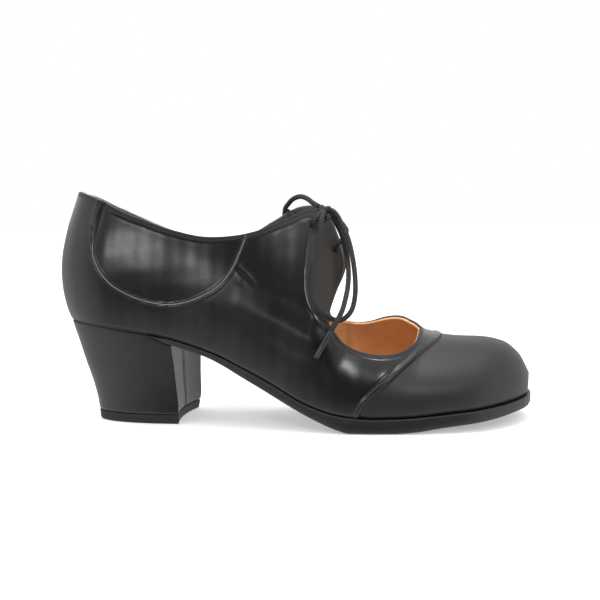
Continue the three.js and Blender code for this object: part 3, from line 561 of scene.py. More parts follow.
class Shell:
    """Quads gathered row by row into one mesh, each with its material."""

    def __init__(self):
        self.points, self.faces, self.kinds, self.fields = [], [], [], []
        self.count = 0

    def add(self, grid, kind, flip, fields):
        n, m = grid.shape[:2]
        index = self.count + np.arange(n * m).reshape(n, m)
        quads = np.stack([index[:-1, :-1], index[1:, :-1], index[1:, 1:], index[:-1, 1:]], -1).reshape(-1, 4)
        if flip:
            quads = quads[:, ::-1]
        self.points.append(grid.reshape(-1, 3))
        self.faces.append(quads)
        self.kinds.append(np.full(len(quads), kind))
        self.fields.append(np.stack([f.ravel() for f in fields], -1))
        self.count += n * m

    def mesh(self, name):
        points = np.vstack(self.points) * MM
        faces = np.vstack(self.faces)
        mesh = bpy.data.meshes.new(name)
        mesh.from_pydata([tuple(p) for p in points], [], [tuple(f) for f in faces])
        for k, label in enumerate(BLANK):
            layer = mesh.attributes.new(label, "FLOAT", "POINT")
            layer.data.foreach_set("value", np.ascontiguousarray(np.vstack(self.fields)[:, k], dtype=np.float32))
        mesh.polygons.foreach_set("material_index", np.concatenate(self.kinds).astype(np.int32))
        work = bmesh.new()
        work.from_mesh(mesh)
        bmesh.ops.remove_doubles(work, verts=work.verts, dist=2e-5)
        bmesh.ops.dissolve_degenerate(work, edges=work.edges, dist=1e-7)
        work.to_mesh(mesh)
        work.free()
        return mesh


def facing(points):
    """The lining's fields: above 0 in the third where the tan vamp lining lies, below 0 in the quarters."""
    tan = points[..., 2] < 49 + 1.2 * (points[..., 0] - 100)
    blank = np.zeros(tan.shape)
    return [blank + BLANK["panel"], blank + BLANK["cap"], np.where(tan, 1.0, -1.0), blank]


def upward(edge, out, side):
    """The way up from an edge along the surface, square to the way out."""
    return unit(np.cross(unit(np.gradient(edge, axis=0)), out) * side)


# The rim over the top edge: share of the way across it, and how far it stands up, in mm
RIM = ((0.10, 0.22), (0.28, 0.36), (0.48, 0.36), (0.56, 0.22), (0.60, 0.40), (0.82, 0.40), (0.95, 0.2))
# The upper's materials, by their slot
LEATHER, LINING, CUT_EDGE = 0, 1, 2


def upper_mesh():
    shell = Shell()
    for side, collar, flap in SIDES:
        columns = columns_of(side, collar, flap)
        skin, fields, way = side_sheet(side, 0.0, columns, SKIN_ROWS, True)
        lining, _, _ = side_sheet(side, -WALL, columns, LINING_ROWS, False)
        flip = side > 0
        shell.add(skin, LEATHER, not flip, fields)
        shell.add(lining, LINING, flip, facing(lining))
        under = np.stack([skin[:, 0], lining[:, 0]], 1)
        # the underside strip takes the painted shade in full
        shell.add(under, LEATHER, flip, facing(under)[:3] + [np.ones(under.shape[:2])])
        # the rim: folded leather outside, the lining's cut edge inside
        last = OPEN_COLUMNS + 1
        top, low, out = skin[:last, -1], lining[:last, -1], way[:last, -1]
        up = upward(top, out, side)
        fade = smooth(np.minimum(np.arange(last), np.arange(last)[::-1]) / 4)[:, None]
        across = low - top
        rows = [top]
        for share, stand in RIM:
            rows.append(top + across * share + up * stand * fade)
        rows.append(low)
        rim = np.stack(rows, 1)
        # the cut edge is pale along the collar, and faced like the lining at the flap and the vamp
        turn = int(np.argmax(top[:, 0] > x_of(flap[0][0]) - 1.0))
        for strip, kind in ((rim[:, :5], LEATHER), (rim[: turn + 1, 4:], CUT_EDGE), (rim[turn:, 4:], LINING)):
            shell.add(strip, kind, not flip, facing(strip))
    return shell.mesh("upper_leather")


def foot_line(at, side, out):
    """Points of the foot line, moved out in plan."""
    at = np.asarray(at, float)
    step = 0.002
    a = np.clip(at, HEEL_END + 2 * step, TOE_END - 2 * step)
    along = surface(a + step, 0, side) - surface(a - step, 0, side)
    normal = np.stack([-side * along[:, 1], side * along[:, 0], 0 * a], -1)
    normal = np.where((at >= TOE_END - 1e-9)[:, None], [1.0, 0, 0], normal)
    normal = np.where((at <= HEEL_END + 1e-9)[:, None], [-1.0, 0, 0], normal)
    return surface(at, 0, side) + unit(normal) * np.broadcast_to(out, at.shape)[:, None]


def sections(ends, middle):
    """Shares of the length, close together in the round ends."""
    quarter = 1 - np.cos(np.pi / 2 * np.arange(ends) / ends)
    return np.concatenate([
        HEEL_END + HEEL_ROUND * quarter,
        np.linspace(HEEL_END + HEEL_ROUND, TOE_END - TOE_ROUND, middle + 1),
        (TOE_END - TOE_ROUND * quarter)[::-1],
    ])


def mesh_of(name, points, faces, weld=1e-5):
    mesh = bpy.data.meshes.new(name)
    mesh.from_pydata([tuple(p) for p in np.asarray(points) * MM], [], [tuple(int(i) for i in f) for f in faces])
    work = bmesh.new()
    work.from_mesh(mesh)
    bmesh.ops.remove_doubles(work, verts=work.verts, dist=weld)
    bmesh.ops.recalc_face_normals(work, faces=work.faces)
    work.to_mesh(mesh)
    work.free()
    return mesh


def ring_mesh(name, rings):
    """A closed skin through rings of points of one size."""
    rings = np.asarray(rings)
    n, m = rings.shape[:2]
    index = np.arange(n * m).reshape(n, m)
    right = np.roll(index, -1, axis=1)
    faces = list(np.stack([index[:-1], right[:-1], right[1:], index[1:]], -1).reshape(-1, 4))
    points = rings.reshape(-1, 3)
    for row in (0, n - 1):
        hub = len(points)
        points = np.vstack([points, rings[row].mean(0)])
        faces += [(index[row, j], index[row, (j + 1) % m], hub) for j in range(m)]
    return mesh_of(name, points, faces)


def level(points, z):
    return np.column_stack([points[:, 0], points[:, 1], z])


def between(a, b, count):
    """Rows of points spread between two rows, without those two."""
    return [a * (1 - k / count) + b * (k / count) for k in range(1, count)]


def outsole_mesh():
    stations = sections(40, 200)
    stations = np.concatenate([[TAIL], stations[stations > TAIL + 0.004]])
    halves = []
    # the sole is scuffed at the tip of the toe
    run = stations * LENGTH
    waves = np.sin(1.9 * run) * np.sin(0.77 * run + 1.0) + 0.5 * np.sin(3.7 * run + 2.0)
    scuff = smooth((stations - 0.93) / 0.05) * waves
    for side in (OUTER, INNER):
        edge = foot_line(stations, side, WELT + 0.22 * scuff)
        seat = foot_line(stations, side, 0.0)
        inside = foot_line(stations, side, WELT - SOLE_ROUND)
        deep = foot_line(stations, side, -6.0)
        x = edge[:, 0]
        top = foot_at(x) - SEAT_GAP
        thick = np.maximum(top - ground_at(x), 0.4)
        turn = np.minimum(SOLE_ROUND, 0.4 * thick)
        ease = np.minimum(0.35, 0.15 * thick)
        bottom = top - thick
        halves.append([
            level(seat, top),
            level(edge * 0.75 + seat * 0.25, top),
            level(edge, top - ease),
            level(edge + (inside - edge) * 0.02, top - thick * 0.45),
            level(edge, bottom + turn),
            level(edge + (inside - edge) * 0.3, bottom + turn * 0.35),
            level(inside, bottom),
            level(deep, bottom),
        ])
    outer, inner = halves
    rings = outer + between(outer[-1], inner[-1], 8) + inner[::-1] + between(inner[0], outer[0], 4)
    return ring_mesh("outsole_leather", np.stack(rings, 1))


def insole_mesh():
    inset = -(WALL + SEAT_GAP)
    stations = sections(26, 90)[1:-1]
    halves = []
    for side in (OUTER, INNER):
        edge = foot_line(stations, side, inset)
        inside = foot_line(stations, side, inset - 0.5)
        low, high = foot_at(edge[:, 0]), foot_at(edge[:, 0]) + INSOLE
        halves.append([level(edge, low), level(edge, high - 0.4), level(inside, high)])
    outer, inner = halves
    rings = outer + between(outer[-1], inner[-1], 12) + inner[::-1] + between(inner[0], outer[0], 4)
    return ring_mesh("insole_leather", np.stack(rings, 1))


# Points of the heel's plan from the breast's corner to the back, where the breast begins, and across it
HEEL_STEPS = 40
BREAST_FROM = 2 * HEEL_STEPS + 1
BREAST_STEPS = 24


def heel_ring(z):
    """One level of the heel's plan; z may differ from point to point."""
    steps = HEEL_STEPS
    angle = np.pi / 2 * np.arange(steps + 1) / steps
    share = np.linspace(-1, 1, BREAST_STEPS + 1)[1:-1]
    count = BREAST_FROM + len(share)
    z = np.broadcast_to(np.asarray(z, float), (count,))
    up = z / HEEL_HEIGHT
    side = np.concatenate([np.full(steps, -1.0), np.full(steps + 1, 1.0), share[::-1]])
    turn = np.concatenate([angle[:-1], angle[::-1], 0 * share])
    back = -HEEL_BASE_LENGTH * heel_back(up)
    front = HEEL_BASE_LENGTH * (heel_front(up) + heel_turn(up) * (1 + side) / 2)
    half = HEEL_BASE_WIDTH * heel_half(up)
    x = front + (back - front) * np.sin(turn) ** 0.92
    y = np.sign(side) * half * np.cos(turn) ** 0.80
    breast = np.arange(count) >= BREAST_FROM
    x = np.where(breast, front - BREAST_HOLLOW * (1 - side**2), x)
    y = np.where(breast, side * half, y)
    return np.stack([x, y, z], -1)


def seat_at(x):
    """The height that the heel reaches up to: the upper behind, the sole in front."""
    return np.where(x < x_of(TAIL), foot_at(x), ground_at(x)) - SEAT_GAP


def drawn_in(ring, by):
    """A level of the heel, drawn in towards its middle."""
    middle = np.array([ring[:, 0].mean(), 0, 0])
    return ring - unit((ring - middle) * [1, 1, 0]) * by


def heel_mesh():
    low = LIFT + SEAT_GAP
    top = heel_ring(HEEL_HEIGHT)
    for _ in range(12):
        top = heel_ring(seat_at(top[:, 0]))
    z_top = top[:, 2]
    t = np.concatenate([[0.0, 0.012, 0.03], np.linspace(0.06, 0.965, 26), [0.98, 1.0]])
    draw = np.zeros(len(t))
    draw[0], draw[1], draw[-1] = 0.5, 0.12, 0.5
    rings = np.array([drawn_in(heel_ring(low + (z_top - low) * share), by) for share, by in zip(t, draw)])
    # the cover's butt seam down the middle of the breast, and the soft draw of leather beside it
    breast = rings[:, BREAST_FROM:]
    y = breast[..., 1]
    breast[..., 0] -= 0.55 * np.exp(-((y / 0.35) ** 2)) - 0.12 * np.exp(-((np.abs(y) - 1.4) / 0.8) ** 2)
    mesh = ring_mesh("heel_leather", rings)
    # painted shade: the top strip of the heel, under the heel seat, takes a near-black second material
    count = rings.shape[1]
    kinds = np.zeros(len(mesh.polygons), np.int32)
    kinds[(len(t) - 2) * count : (len(t) - 1) * count] = 1
    mesh.polygons.foreach_set("material_index", kinds)
    return mesh


def lift_mesh():
    # height and draw of each level: round edges and a joint between two layers
    levels = (
        (0.0, 0.45), (0.12, 0.1), (0.45, 0.0), (2.3, 0.0), (2.42, 0.12), (2.54, 0.0),
        (LIFT - 0.3, 0.0), (LIFT, 0.25),
    )
    return ring_mesh("heel_lift_rubber", np.array([drawn_in(heel_ring(z), by) for z, by in levels]))


def sweep(name, points, radius, step=0.7, sides=16, closed=False):
    """A round cord along a route, with its own u round it and v along it in metres."""
    route = evenly(through(points, 24 * len(points)), step)
    n = len(route)
    way = unit(np.gradient(route, axis=0))
    if closed:
        way[0] = way[-1] = unit(route[1] - route[-2])
    normal = np.zeros_like(route)
    first = np.cross(way[0], [0.0, 0.0, 1.0])
    if np.linalg.norm(first) < 0.2:
        first = np.cross(way[0], [0.0, 1.0, 0.0])
    normal[0] = unit(first)
    for i in range(1, n):
        v = normal[i - 1] - way[i] * (normal[i - 1] @ way[i])
        normal[i] = unit(v)
    across = np.cross(way, normal)
    angle = (2 * np.pi * np.arange(sides) / sides)[None, :, None]
    ring = route[:, None] + (normal[:, None] * np.cos(angle) + across[:, None] * np.sin(angle)) * radius
    mesh = bpy.data.meshes.new(name)
    points = ring.reshape(-1, 3)
    index = np.arange(n * sides).reshape(n, sides)
    right = np.roll(index, -1, axis=1)
    faces = np.stack([index[:-1], right[:-1], right[1:], index[1:]], -1).reshape(-1, 4).tolist()
    run = np.arange(n) * np.linalg.norm(route[1] - route[0]) * MM
    u = np.arange(sides + 1) / sides
    uv = []
    for i in range(n - 1):
        for j in range(sides):
            uv += [(u[j], run[i]), (u[j + 1], run[i]), (u[j + 1], run[i + 1]), (u[j], run[i + 1])]
    if not closed:
        for row, turned in ((0, True), (n - 1, False)):
            middle = len(points)
            points = np.vstack([points, ring[row].mean(0)])
            for j in range(sides):
                a, b = index[row, j], index[row, (j + 1) % sides]
                faces.append([b, a, middle] if turned else [a, b, middle])
                uv += [(u[j], run[row]), (u[j + 1], run[row]), (u[j], run[row])]
    mesh.from_pydata([tuple(p) for p in points * MM], [], faces)
    layer = mesh.uv_layers.new(name="cord")
    layer.data.foreach_set("uv", np.array(uv, np.float32).ravel())
    work = bmesh.new()
    work.from_mesh(mesh)
    if closed:
        bmesh.ops.remove_doubles(work, verts=work.verts, dist=1e-5)
    bmesh.ops.recalc_face_normals(work, faces=work.faces)
    work.to_mesh(mesh)
    work.free()
    return mesh, route


def colour(text):
    """An sRGB hex colour as linear red, green, blue and alpha."""
    parts = [int(text[i : i + 2], 16) / 255 for i in (1, 3, 5)]
    return tuple(p / 12.92 if p <= 0.04045 else ((p + 0.055) / 1.055) ** 2.4 for p in parts) + (1.0,)


def node(tree, kind, **settings):
    """Add a shader node. A setting is one of its properties, its colour stops, an input's value,
    or the node or socket that is linked to that input."""
    made = tree.nodes.new("ShaderNode" + kind)
    for name, value in settings.items():
        if name == "stops":
            elements = made.color_ramp.elements
            while len(elements) < len(value):
                elements.new(0.5)
            for element, (position, tint) in zip(elements, value):
                element.position, element.color = position, tint
            continue
        if hasattr(made, name):
            setattr(made, name, value)
            continue
        if name[0] == "i" and name[1:].isdigit():
            socket = made.inputs[int(name[1:])]
        else:
            socket = next(s for s in made.inputs if s.enabled and s.name.lower() == name.replace("_", " ").lower())
        if isinstance(value, bpy.types.Node):
            value = next(s for s in value.outputs if s.enabled)
        if isinstance(value, bpy.types.NodeSocket):
            tree.links.new(value, socket)
        else:
            socket.default_value = value
    return made


def material(name):
    """A new material, its node tree, emptied, and its Object coordinates."""
    made = bpy.data.materials.new(name)
    made.use_nodes = True
    tree = made.node_tree
    tree.nodes.clear()
    return made, tree, node(tree, "TexCoord").outputs["Object"]


def polished_calf(base, edge):
    """Black box calf, aniline dyed and polished: near-black, a fine grain, a broad soft shine.
    The toe cap and the counter are left a little drier than the side."""
    made, tree, where = material("polished_box_calf")
    panel, cap, fold, groove = (node(tree, "Attribute", attribute_name=name).outputs["Fac"] for name in BLANK)
    spot = node(tree, "SeparateXYZ", Vector=where)
    # rubbing shows as slow changes over 18 mm, scuffs over 5 mm, the hair cells as a 0.8 mm grain
    slow = node(tree, "TexNoise", Vector=where, Scale=1 / (18 * MM), Detail=2.0)
    scuff = node(tree, "TexNoise", Vector=where, Scale=1 / (5 * MM), Detail=4.0, Roughness=0.65)
    fine = node(tree, "TexNoise", Vector=where, Scale=1 / (0.8 * MM), Detail=2.0)
    in_cap = node(tree, "MapRange", interpolation_type="SMOOTHSTEP", Value=cap, From_Min=-0.1, From_Max=0.3)
    behind = node(tree, "MapRange", interpolation_type="SMOOTHSTEP", Value=spot.outputs[0],
                  From_Min=-26 * MM, From_Max=-36 * MM)
    off_panel = node(tree, "MapRange", interpolation_type="SMOOTHSTEP", Value=panel, From_Min=0.2, From_Max=-0.2)
    counter = node(tree, "Math", operation="MULTIPLY", i0=behind, i1=off_panel)
    dry = node(tree, "Math", operation="MAXIMUM", i0=in_cap, i1=counter)
    tint = node(tree, "Mix", data_type="RGBA", Factor=slow, A=base, B=colour("#181617"))
    tint = node(tree, "Mix", data_type="RGBA", Factor=dry, A=tint, B=colour("#1a1919"))
    # the side panel's surround is cut, not folded: its raw edge is a thin pale line
    off = node(tree, "Math", operation="ABSOLUTE", i0=node(tree, "Math", operation="ADD", i0=panel, i1=0.05))
    raw = node(tree, "MapRange", interpolation_type="SMOOTHSTEP", Value=off, From_Min=0.26, From_Max=0.08)
    tint = node(tree, "Mix", data_type="RGBA", Factor=raw, A=tint, B=edge)
    # the fold of the toe seam keeps a dark line of shadow
    off = node(tree, "Math", operation="ABSOLUTE", i0=node(tree, "Math", operation="SUBTRACT", i0=cap, i1=0.2))
    shade_line = node(tree, "MapRange", interpolation_type="SMOOTHSTEP", Value=off, From_Min=0.6, From_Max=0.25)
    tint = node(tree, "Mix", data_type="RGBA", Factor=shade_line, A=tint, B=colour("#050505"))
    # painted shade: near-black along the heel seat and the sole, in the strap's wedge and on the upper's underside
    # strip
    tint = node(tree, "Mix", data_type="RGBA", Factor=groove, A=tint, B=colour("#030303"))
    rough = node(tree, "Mix", data_type="FLOAT", Factor=scuff, A=0.20, B=0.28)
    rough = node(tree, "Mix", data_type="FLOAT", Factor=dry, A=rough, B=0.44)
    line = node(tree, "Math", operation="MAXIMUM", i0=raw, i1=shade_line)
    line = node(tree, "Math", operation="MAXIMUM", i0=line, i1=groove)
    # the folded top edge has lost its polish
    rim = node(tree, "MapRange", Value=fold, From_Min=2.4, From_Max=0.8, To_Max=0.6)
    line = node(tree, "Math", operation="MAXIMUM", i0=line, i1=rim)
    rough = node(tree, "Mix", data_type="FLOAT", Factor=line, A=rough, B=0.8)
    height = node(tree, "Math", operation="MULTIPLY_ADD", i0=scuff, i1=0.6, i2=fine)
    bump = node(tree, "Bump", Strength=0.04, Distance=0.0004, Height=height)
    shader = node(tree, "BsdfPrincipled", Base_Color=tint, Roughness=rough, Normal=bump, IOR=1.5)
    node(tree, "OutputMaterial", Surface=shader)
    return made


def lining_leather(base, facing):
    """Vegetable-tanned lining: tan in the vamp, dry and softly mottled where the foot has worn it.
    The quarters are faced in black lining leather."""
    made, tree, where = material("vegetable_tanned_lining")
    slow = node(tree, "TexNoise", Vector=where, Scale=1 / (22 * MM), Detail=3.0)
    fine = node(tree, "TexNoise", Vector=where, Scale=1 / (0.9 * MM), Detail=3.0)
    stops = ((0.25, colour("#b57c4b")), (0.55, base), (0.8, colour("#d3ab80")))
    tan = node(tree, "ValToRGB", Fac=slow, stops=stops)
    part = node(tree, "Math", operation="MULTIPLY", i0=fine, i1=0.3)
    tan = node(tree, "Mix", data_type="RGBA", Factor=part, A=tan, B=colour("#8a5730"))
    dark = node(tree, "Mix", data_type="RGBA", Factor=slow, A=facing, B=colour("#4a4947"))
    in_vamp = node(tree, "MapRange", interpolation_type="SMOOTHSTEP", From_Min=-0.3, From_Max=0.3,
                   Value=node(tree, "Attribute", attribute_name="fold").outputs["Fac"])
    tint = node(tree, "Mix", data_type="RGBA", Factor=in_vamp, A=dark, B=tan)
    bump = node(tree, "Bump", Strength=0.25, Distance=0.0003, Height=fine)
    shader = node(tree, "BsdfPrincipled", Base_Color=tint, Roughness=0.62, Normal=bump)
    node(tree, "OutputMaterial", Surface=shader)
    return made


def plain_finish(name, base, light, grain, rough, stretch=1.0, depth=0.25):
    """A piece with one finish: a base colour, a lighter one, and a grain of one size in mm."""
    made, tree, where = material(name)
    where = node(tree, "Mapping", Vector=where, Scale=(stretch, 1, 1))
    slow = node(tree, "TexNoise", Vector=where, Scale=1 / (11 * MM), Detail=3.0)
    fine = node(tree, "TexNoise", Vector=where, Scale=1 / (grain * MM), Detail=3.0)
    both = node(tree, "Mix", data_type="FLOAT", Factor=0.5, A=slow, B=fine)
    share = node(tree, "MapRange", Value=both, From_Min=0.38, From_Max=0.62)
    tint = node(tree, "Mix", data_type="RGBA", Factor=share, A=base, B=light)
    shine = node(tree, "Mix", data_type="FLOAT", Factor=slow, A=rough[0], B=rough[1])
    bump = node(tree, "Bump", Strength=depth, Distance=0.0003, Height=fine)
    shader = node(tree, "BsdfPrincipled", Base_Color=tint, Roughness=shine, Normal=bump)
    node(tree, "OutputMaterial", Surface=shader)
    return made


def woven_lace(base):
    """Waxed cotton braid: eight strands crossing every 1.5 mm, matt, with painted shade between the strands and
    lighter crowns.
    """
    made, tree, _ = material("braided_cotton")
    split = node(tree, "SeparateXYZ", Vector=node(tree, "UVMap", uv_map="cord"))
    turn = node(tree, "Math", operation="MULTIPLY", i0=split.outputs[0], i1=2 * math.pi * 4)
    run = node(tree, "Math", operation="MULTIPLY", i0=split.outputs[1], i1=2 * math.pi / (1.5 * MM))
    waves = [
        node(tree, "Math", operation="SINE", i0=node(tree, "Math", operation=operation, i0=run, i1=turn))
        for operation in ("ADD", "SUBTRACT")
    ]
    weave = node(tree, "Math", operation="MAXIMUM", i0=waves[0], i1=waves[1])
    level = node(tree, "MapRange", Value=weave, From_Min=-0.6, From_Max=1.0)
    # painted shade: near-black in the valleys between the strands, lighter on the crowns
    stops = ((0.0, colour("#050505")), (0.55, base), (1.0, colour("#232222")))
    tint = node(tree, "ValToRGB", Fac=level, stops=stops)
    bump = node(tree, "Bump", Strength=0.8, Distance=0.0004, Height=level)
    shader = node(tree, "BsdfPrincipled", Base_Color=tint, Roughness=0.7, Normal=bump)
    node(tree, "OutputMaterial", Surface=shader)
    return made


# How brightly the floor glows by itself, to burn out like the photo's background
FLOOR_GLOW = 0.35


def studio_floor():
    """Seamless white paper, lit until it burns out."""
    made, tree, where = material("seamless_paper")
    slow = node(tree, "TexNoise", Vector=where, Scale=1 / (400 * MM), Detail=1.0)
    tint = node(tree, "Mix", data_type="RGBA", Factor=slow, A=colour("#fbfbfb"), B=colour("#ffffff"))
    shader = node(tree, "BsdfPrincipled", Base_Color=tint, Roughness=0.9, Emission_Color=(1, 1, 1, 1),
                  Emission_Strength=FLOOR_GLOW)
    node(tree, "OutputMaterial", Surface=shader)
    return made



# How deep the lace holes are punched, in metres: through one side of the upper
PUNCH_REACH = 0.012


def rod(middle, way, radius, reach):
    """A round rod along a direction."""
    bpy.ops.object.select_all(action="DESELECT")
    bpy.ops.mesh.primitive_cylinder_add(vertices=32, radius=radius, depth=reach, location=middle,
                                        rotation=way.to_track_quat("Z", "Y").to_euler())
    return bpy.context.active_object


def choose(piece):
    bpy.ops.object.select_all(action="DESELECT")
    piece.select_set(True)
    bpy.context.view_layer.objects.active = piece


def shade(piece, angle):
    """Smooth the shading, apart from edges sharper than an angle in degrees."""
    choose(piece)
    bpy.ops.object.shade_smooth_by_angle(angle=math.radians(angle))


def finish(piece, kind, name, **settings):
    """Add a modifier and apply it."""
    choose(piece)
    made = piece.modifiers.new(name, kind)
    for key, value in settings.items():
        setattr(made, key, value)
    bpy.ops.object.modifier_apply(modifier=made.name)


def put(mesh, materials, angle, replaced=None):
    """Show a mesh as a piece of the shoe: it rides the one body and stands for its CAD node."""
    piece = bpy.data.objects.new(mesh.name, mesh)
    bpy.context.collection.objects.link(piece)
    for made in materials:
        mesh.materials.append(made)
    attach(piece, "root")
    if replaced:
        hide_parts(replaced)
    shade(piece, angle)
    return piece


def size_property(name, description, millimetres):
    return bpy.props.FloatProperty(name=name, description=description, default=millimetres * MM, unit="LENGTH")


def colour_property(name, description, text):
    return bpy.props.FloatVectorProperty(name=name, description=description, subtype="COLOR", size=4,
                                         min=0, max=1, default=colour(text))


class ShoeSizes(bpy.types.PropertyGroup):
    """Sizes that can be changed without moving the shoe's form."""

    stitch_length: size_property("Stitch length", "Length of one stitch with its gap", 2.6)
    thread: size_property("Thread", "Width of the sewing thread", 0.5)
    lace: size_property("Lace", "Width of the woven lace", LACE)
    hole: size_property("Lace hole", "Width of a punched lace hole", EYELET)


class ShoeColours(bpy.types.PropertyGroup):
    """Colours of the shoe."""

    calf: colour_property("Calf", "The black upper leather", "#0f0d0e")
    edge: colour_property("Cut edge", "The pale cut edges of the leather", "#7a7877")
    lining: colour_property("Lining", "The tan lining", "#c8976a")
    facing: colour_property("Facing", "The black lining of the quarters", "#444646")
    sole: colour_property("Sole", "The inked sole", "#0f0e0e")
    heel: colour_property("Heel", "The heel's leather cover", "#0d0c0c")
    lift: colour_property("Top-piece", "The rubber under the heel", "#111010")
    lace: colour_property("Lace", "The braided lace", "#121111")
    tip: colour_property("Lace tip", "The film round the lace's end", "#1c1c1c")
    thread: colour_property("Thread", "The sewing thread", "#1b1a1a")


def eyelet_place(eyelet, side):
    at, height, _ = place([(x_of(eyelet[0]), COLLAR_HEIGHT * eyelet[1])], side)
    return surface(at, height, side)[0], outward(at, height, side)[0]


class SHOE_OT_upper(bpy.types.Operator):
    """Build the leather upper with its lining, seams, creases and punched lace holes"""

    bl_idname = "shoe.upper"
    bl_label = "Upper"

    def execute(self, context):
        colours, sizes = context.scene.shoe_colours, context.scene.shoe_sizes
        leather = polished_calf(colours.calf, colours.edge)
        # the lining's cut edge: pale dry fibres
        cut = plain_finish("cut_lining_edge", colour("#8f8a84"), colour("#b9b4ac"), 0.7, (0.8, 0.9))
        materials = [leather, lining_leather(colours.lining, colours.facing), cut]
        piece = put(upper_mesh(), materials, 50, "upper")
        # the outer hole is stretched by the lace, the inner one still grips it
        for eyelet, side, share in ((OUTER_EYELET, OUTER, 1.35), (INNER_EYELET, INNER, 0.84)):
            point, way = eyelet_place(eyelet, side)
            punch = rod(Vector(point) * MM, Vector(way), sizes.hole / 2 * share, PUNCH_REACH)
            punch.data.materials.append(leather)
            finish(piece, "BOOLEAN", "punch", operation="DIFFERENCE", object=punch, solver="EXACT")
            bpy.data.objects.remove(punch)
        shade(piece, 50)
        return {"FINISHED"}


# How far the stitches lie from the top edge and from the toe seam, and how deep, in mm
EDGE_STITCH, EDGE_STITCH_DEPTH = 1.7, 0.12
SEAM_STITCH, SEAM_STITCH_DEPTH = 3.2, 0.2


def stitch_rows(step):
    """Where the stitches of each row lie on the upper: their middles and the ways out."""
    rows = []
    for side, collar, flap in SIDES:
        _, at, height = (v[: OPEN_COLUMNS + 1] for v in columns_of(side, collar, flap))
        top, out = surface(at, height, side), outward(at, height, side)
        row = top - upward(top, out, side) * EDGE_STITCH + out * (OVERLAY - EDGE_STITCH_DEPTH)
        rows.append(np.hstack([row, out])[3:-3])
        line, out = seam_on(CAP_LINE, side)
        row = line - upward(line, out, side) * SEAM_STITCH + out * (OVERLAY - SEAM_STITCH_DEPTH)
        rows.append(np.hstack([row, out]))
    even = [evenly(row, step) for row in rows]
    return [(row[:, :3], unit(row[:, 3:])) for row in even]


class SHOE_OT_stitching(bpy.types.Operator):
    """Lay the stitches along the collar, the vamp opening and the toe seam"""

    bl_idname = "shoe.stitching"
    bl_label = "Stitching"

    def execute(self, context):
        sizes = context.scene.shoe_sizes
        bpy.ops.object.select_all(action="DESELECT")
        # one stitch: a small ball, drawn out and bent down into the leather at its ends
        bpy.ops.mesh.primitive_uv_sphere_add(segments=8, ring_count=5, radius=sizes.thread / 2)
        one = context.active_object
        points = np.array([v.co for v in one.data.vertices]) / MM
        faces = [tuple(p.vertices) for p in one.data.polygons]
        bpy.data.objects.remove(one)
        reach = sizes.stitch_length / MM * 0.78 / 2
        points[:, 0] *= reach / (sizes.thread / MM / 2)
        points[:, 2] -= 0.12 * (points[:, 0] / reach) ** 2
        all_points, all_faces = [], []
        for middle, out in stitch_rows(sizes.stitch_length / MM):
            along = unit(np.gradient(middle, axis=0))
            across = np.cross(out, along)
            for m, a, c, o in zip(middle, along, across, out):
                start = len(all_points) * len(points)
                all_points.append(m + points[:, :1] * a + points[:, 1:2] * c + points[:, 2:] * o)
                all_faces += [tuple(i + start for i in f) for f in faces]
        mesh = mesh_of("sewn_thread", np.vstack(all_points), all_faces, weld=0)
        # waxed linen thread, black
        thread = context.scene.shoe_colours.thread
        linen = plain_finish("waxed_linen_thread", thread, colour("#2e2d2d"), 0.5, (0.5, 0.6))
        put(mesh, [linen], 60)
        return {"FINISHED"}


class SHOE_OT_sole(bpy.types.Operator):
    """Build the insole and the outsole"""

    bl_idname = "shoe.sole"
    bl_label = "Soles"

    def execute(self, context):
        colours = context.scene.shoe_colours
        # a tan calf sock over the insole
        sock = plain_finish("calf_sock", colours.lining, colour("#a9713f"), 0.9, (0.55, 0.68))
        put(insole_mesh(), [sock], 40, "insole")
        # oak-bark sole bend with an inked, waxed edge, brushed along its length
        bend = plain_finish("inked_sole_bend", colours.sole, colour("#1c1b1b"), 0.7, (0.34, 0.46), stretch=0.12)
        put(outsole_mesh(), [bend], 35, "outsole")
        return {"FINISHED"}


class SHOE_OT_heel(bpy.types.Operator):
    """Build the leather-covered heel and its top-piece"""

    bl_idname = "shoe.heel"
    bl_label = "Heel"

    def execute(self, context):
        colours = context.scene.shoe_colours
        # the same calf drawn tight over the wooden block, polished, with a few rubs
        cover = plain_finish("calf_heel_cover", colours.heel, colour("#151414"), 0.9, (0.30, 0.40), depth=0.1)
        # painted shade: a near-black strip along the top of the heel, where the upper tucks in
        seat_shade = plain_finish("heel_seat_shade", colour("#040404"), colour("#060606"), 0.9, (0.8, 0.9))
        put(heel_mesh(), [cover, seat_shade], 35, "heel_block")
        # moulded rubber: matt, slightly pitted
        rubber = plain_finish("moulded_rubber", colours.lift, colour("#1b1a1a"), 0.6, (0.65, 0.78))
        put(lift_mesh(), [rubber], 30, "heel_lift")
        return {"FINISHED"}


# The knot in mm: the ring that its cord runs round, how far it wraps about that ring, its turn and middle
KNOT_RING, KNOT_WRAP = 2.6, 1.3
KNOT_TURN = math.radians(50)
KNOT_MIDDLE = (101.2, -18.6, 108.4)


def knot_route():
    """Two wraps that pass over and under each other round the strands, as in a bow's knot."""
    t = np.linspace(0, 2 * np.pi, 97)
    wide = KNOT_RING + KNOT_WRAP * np.cos(3 * t)
    along, across, up = 1.7 * KNOT_WRAP * np.sin(3 * t), 0.8 * wide * np.cos(2 * t), wide * np.sin(2 * t)
    c, s = math.cos(KNOT_TURN), math.sin(KNOT_TURN)
    return np.stack([c * along + s * across, c * across - s * along, up + 0.25 * along], -1) + KNOT_MIDDLE


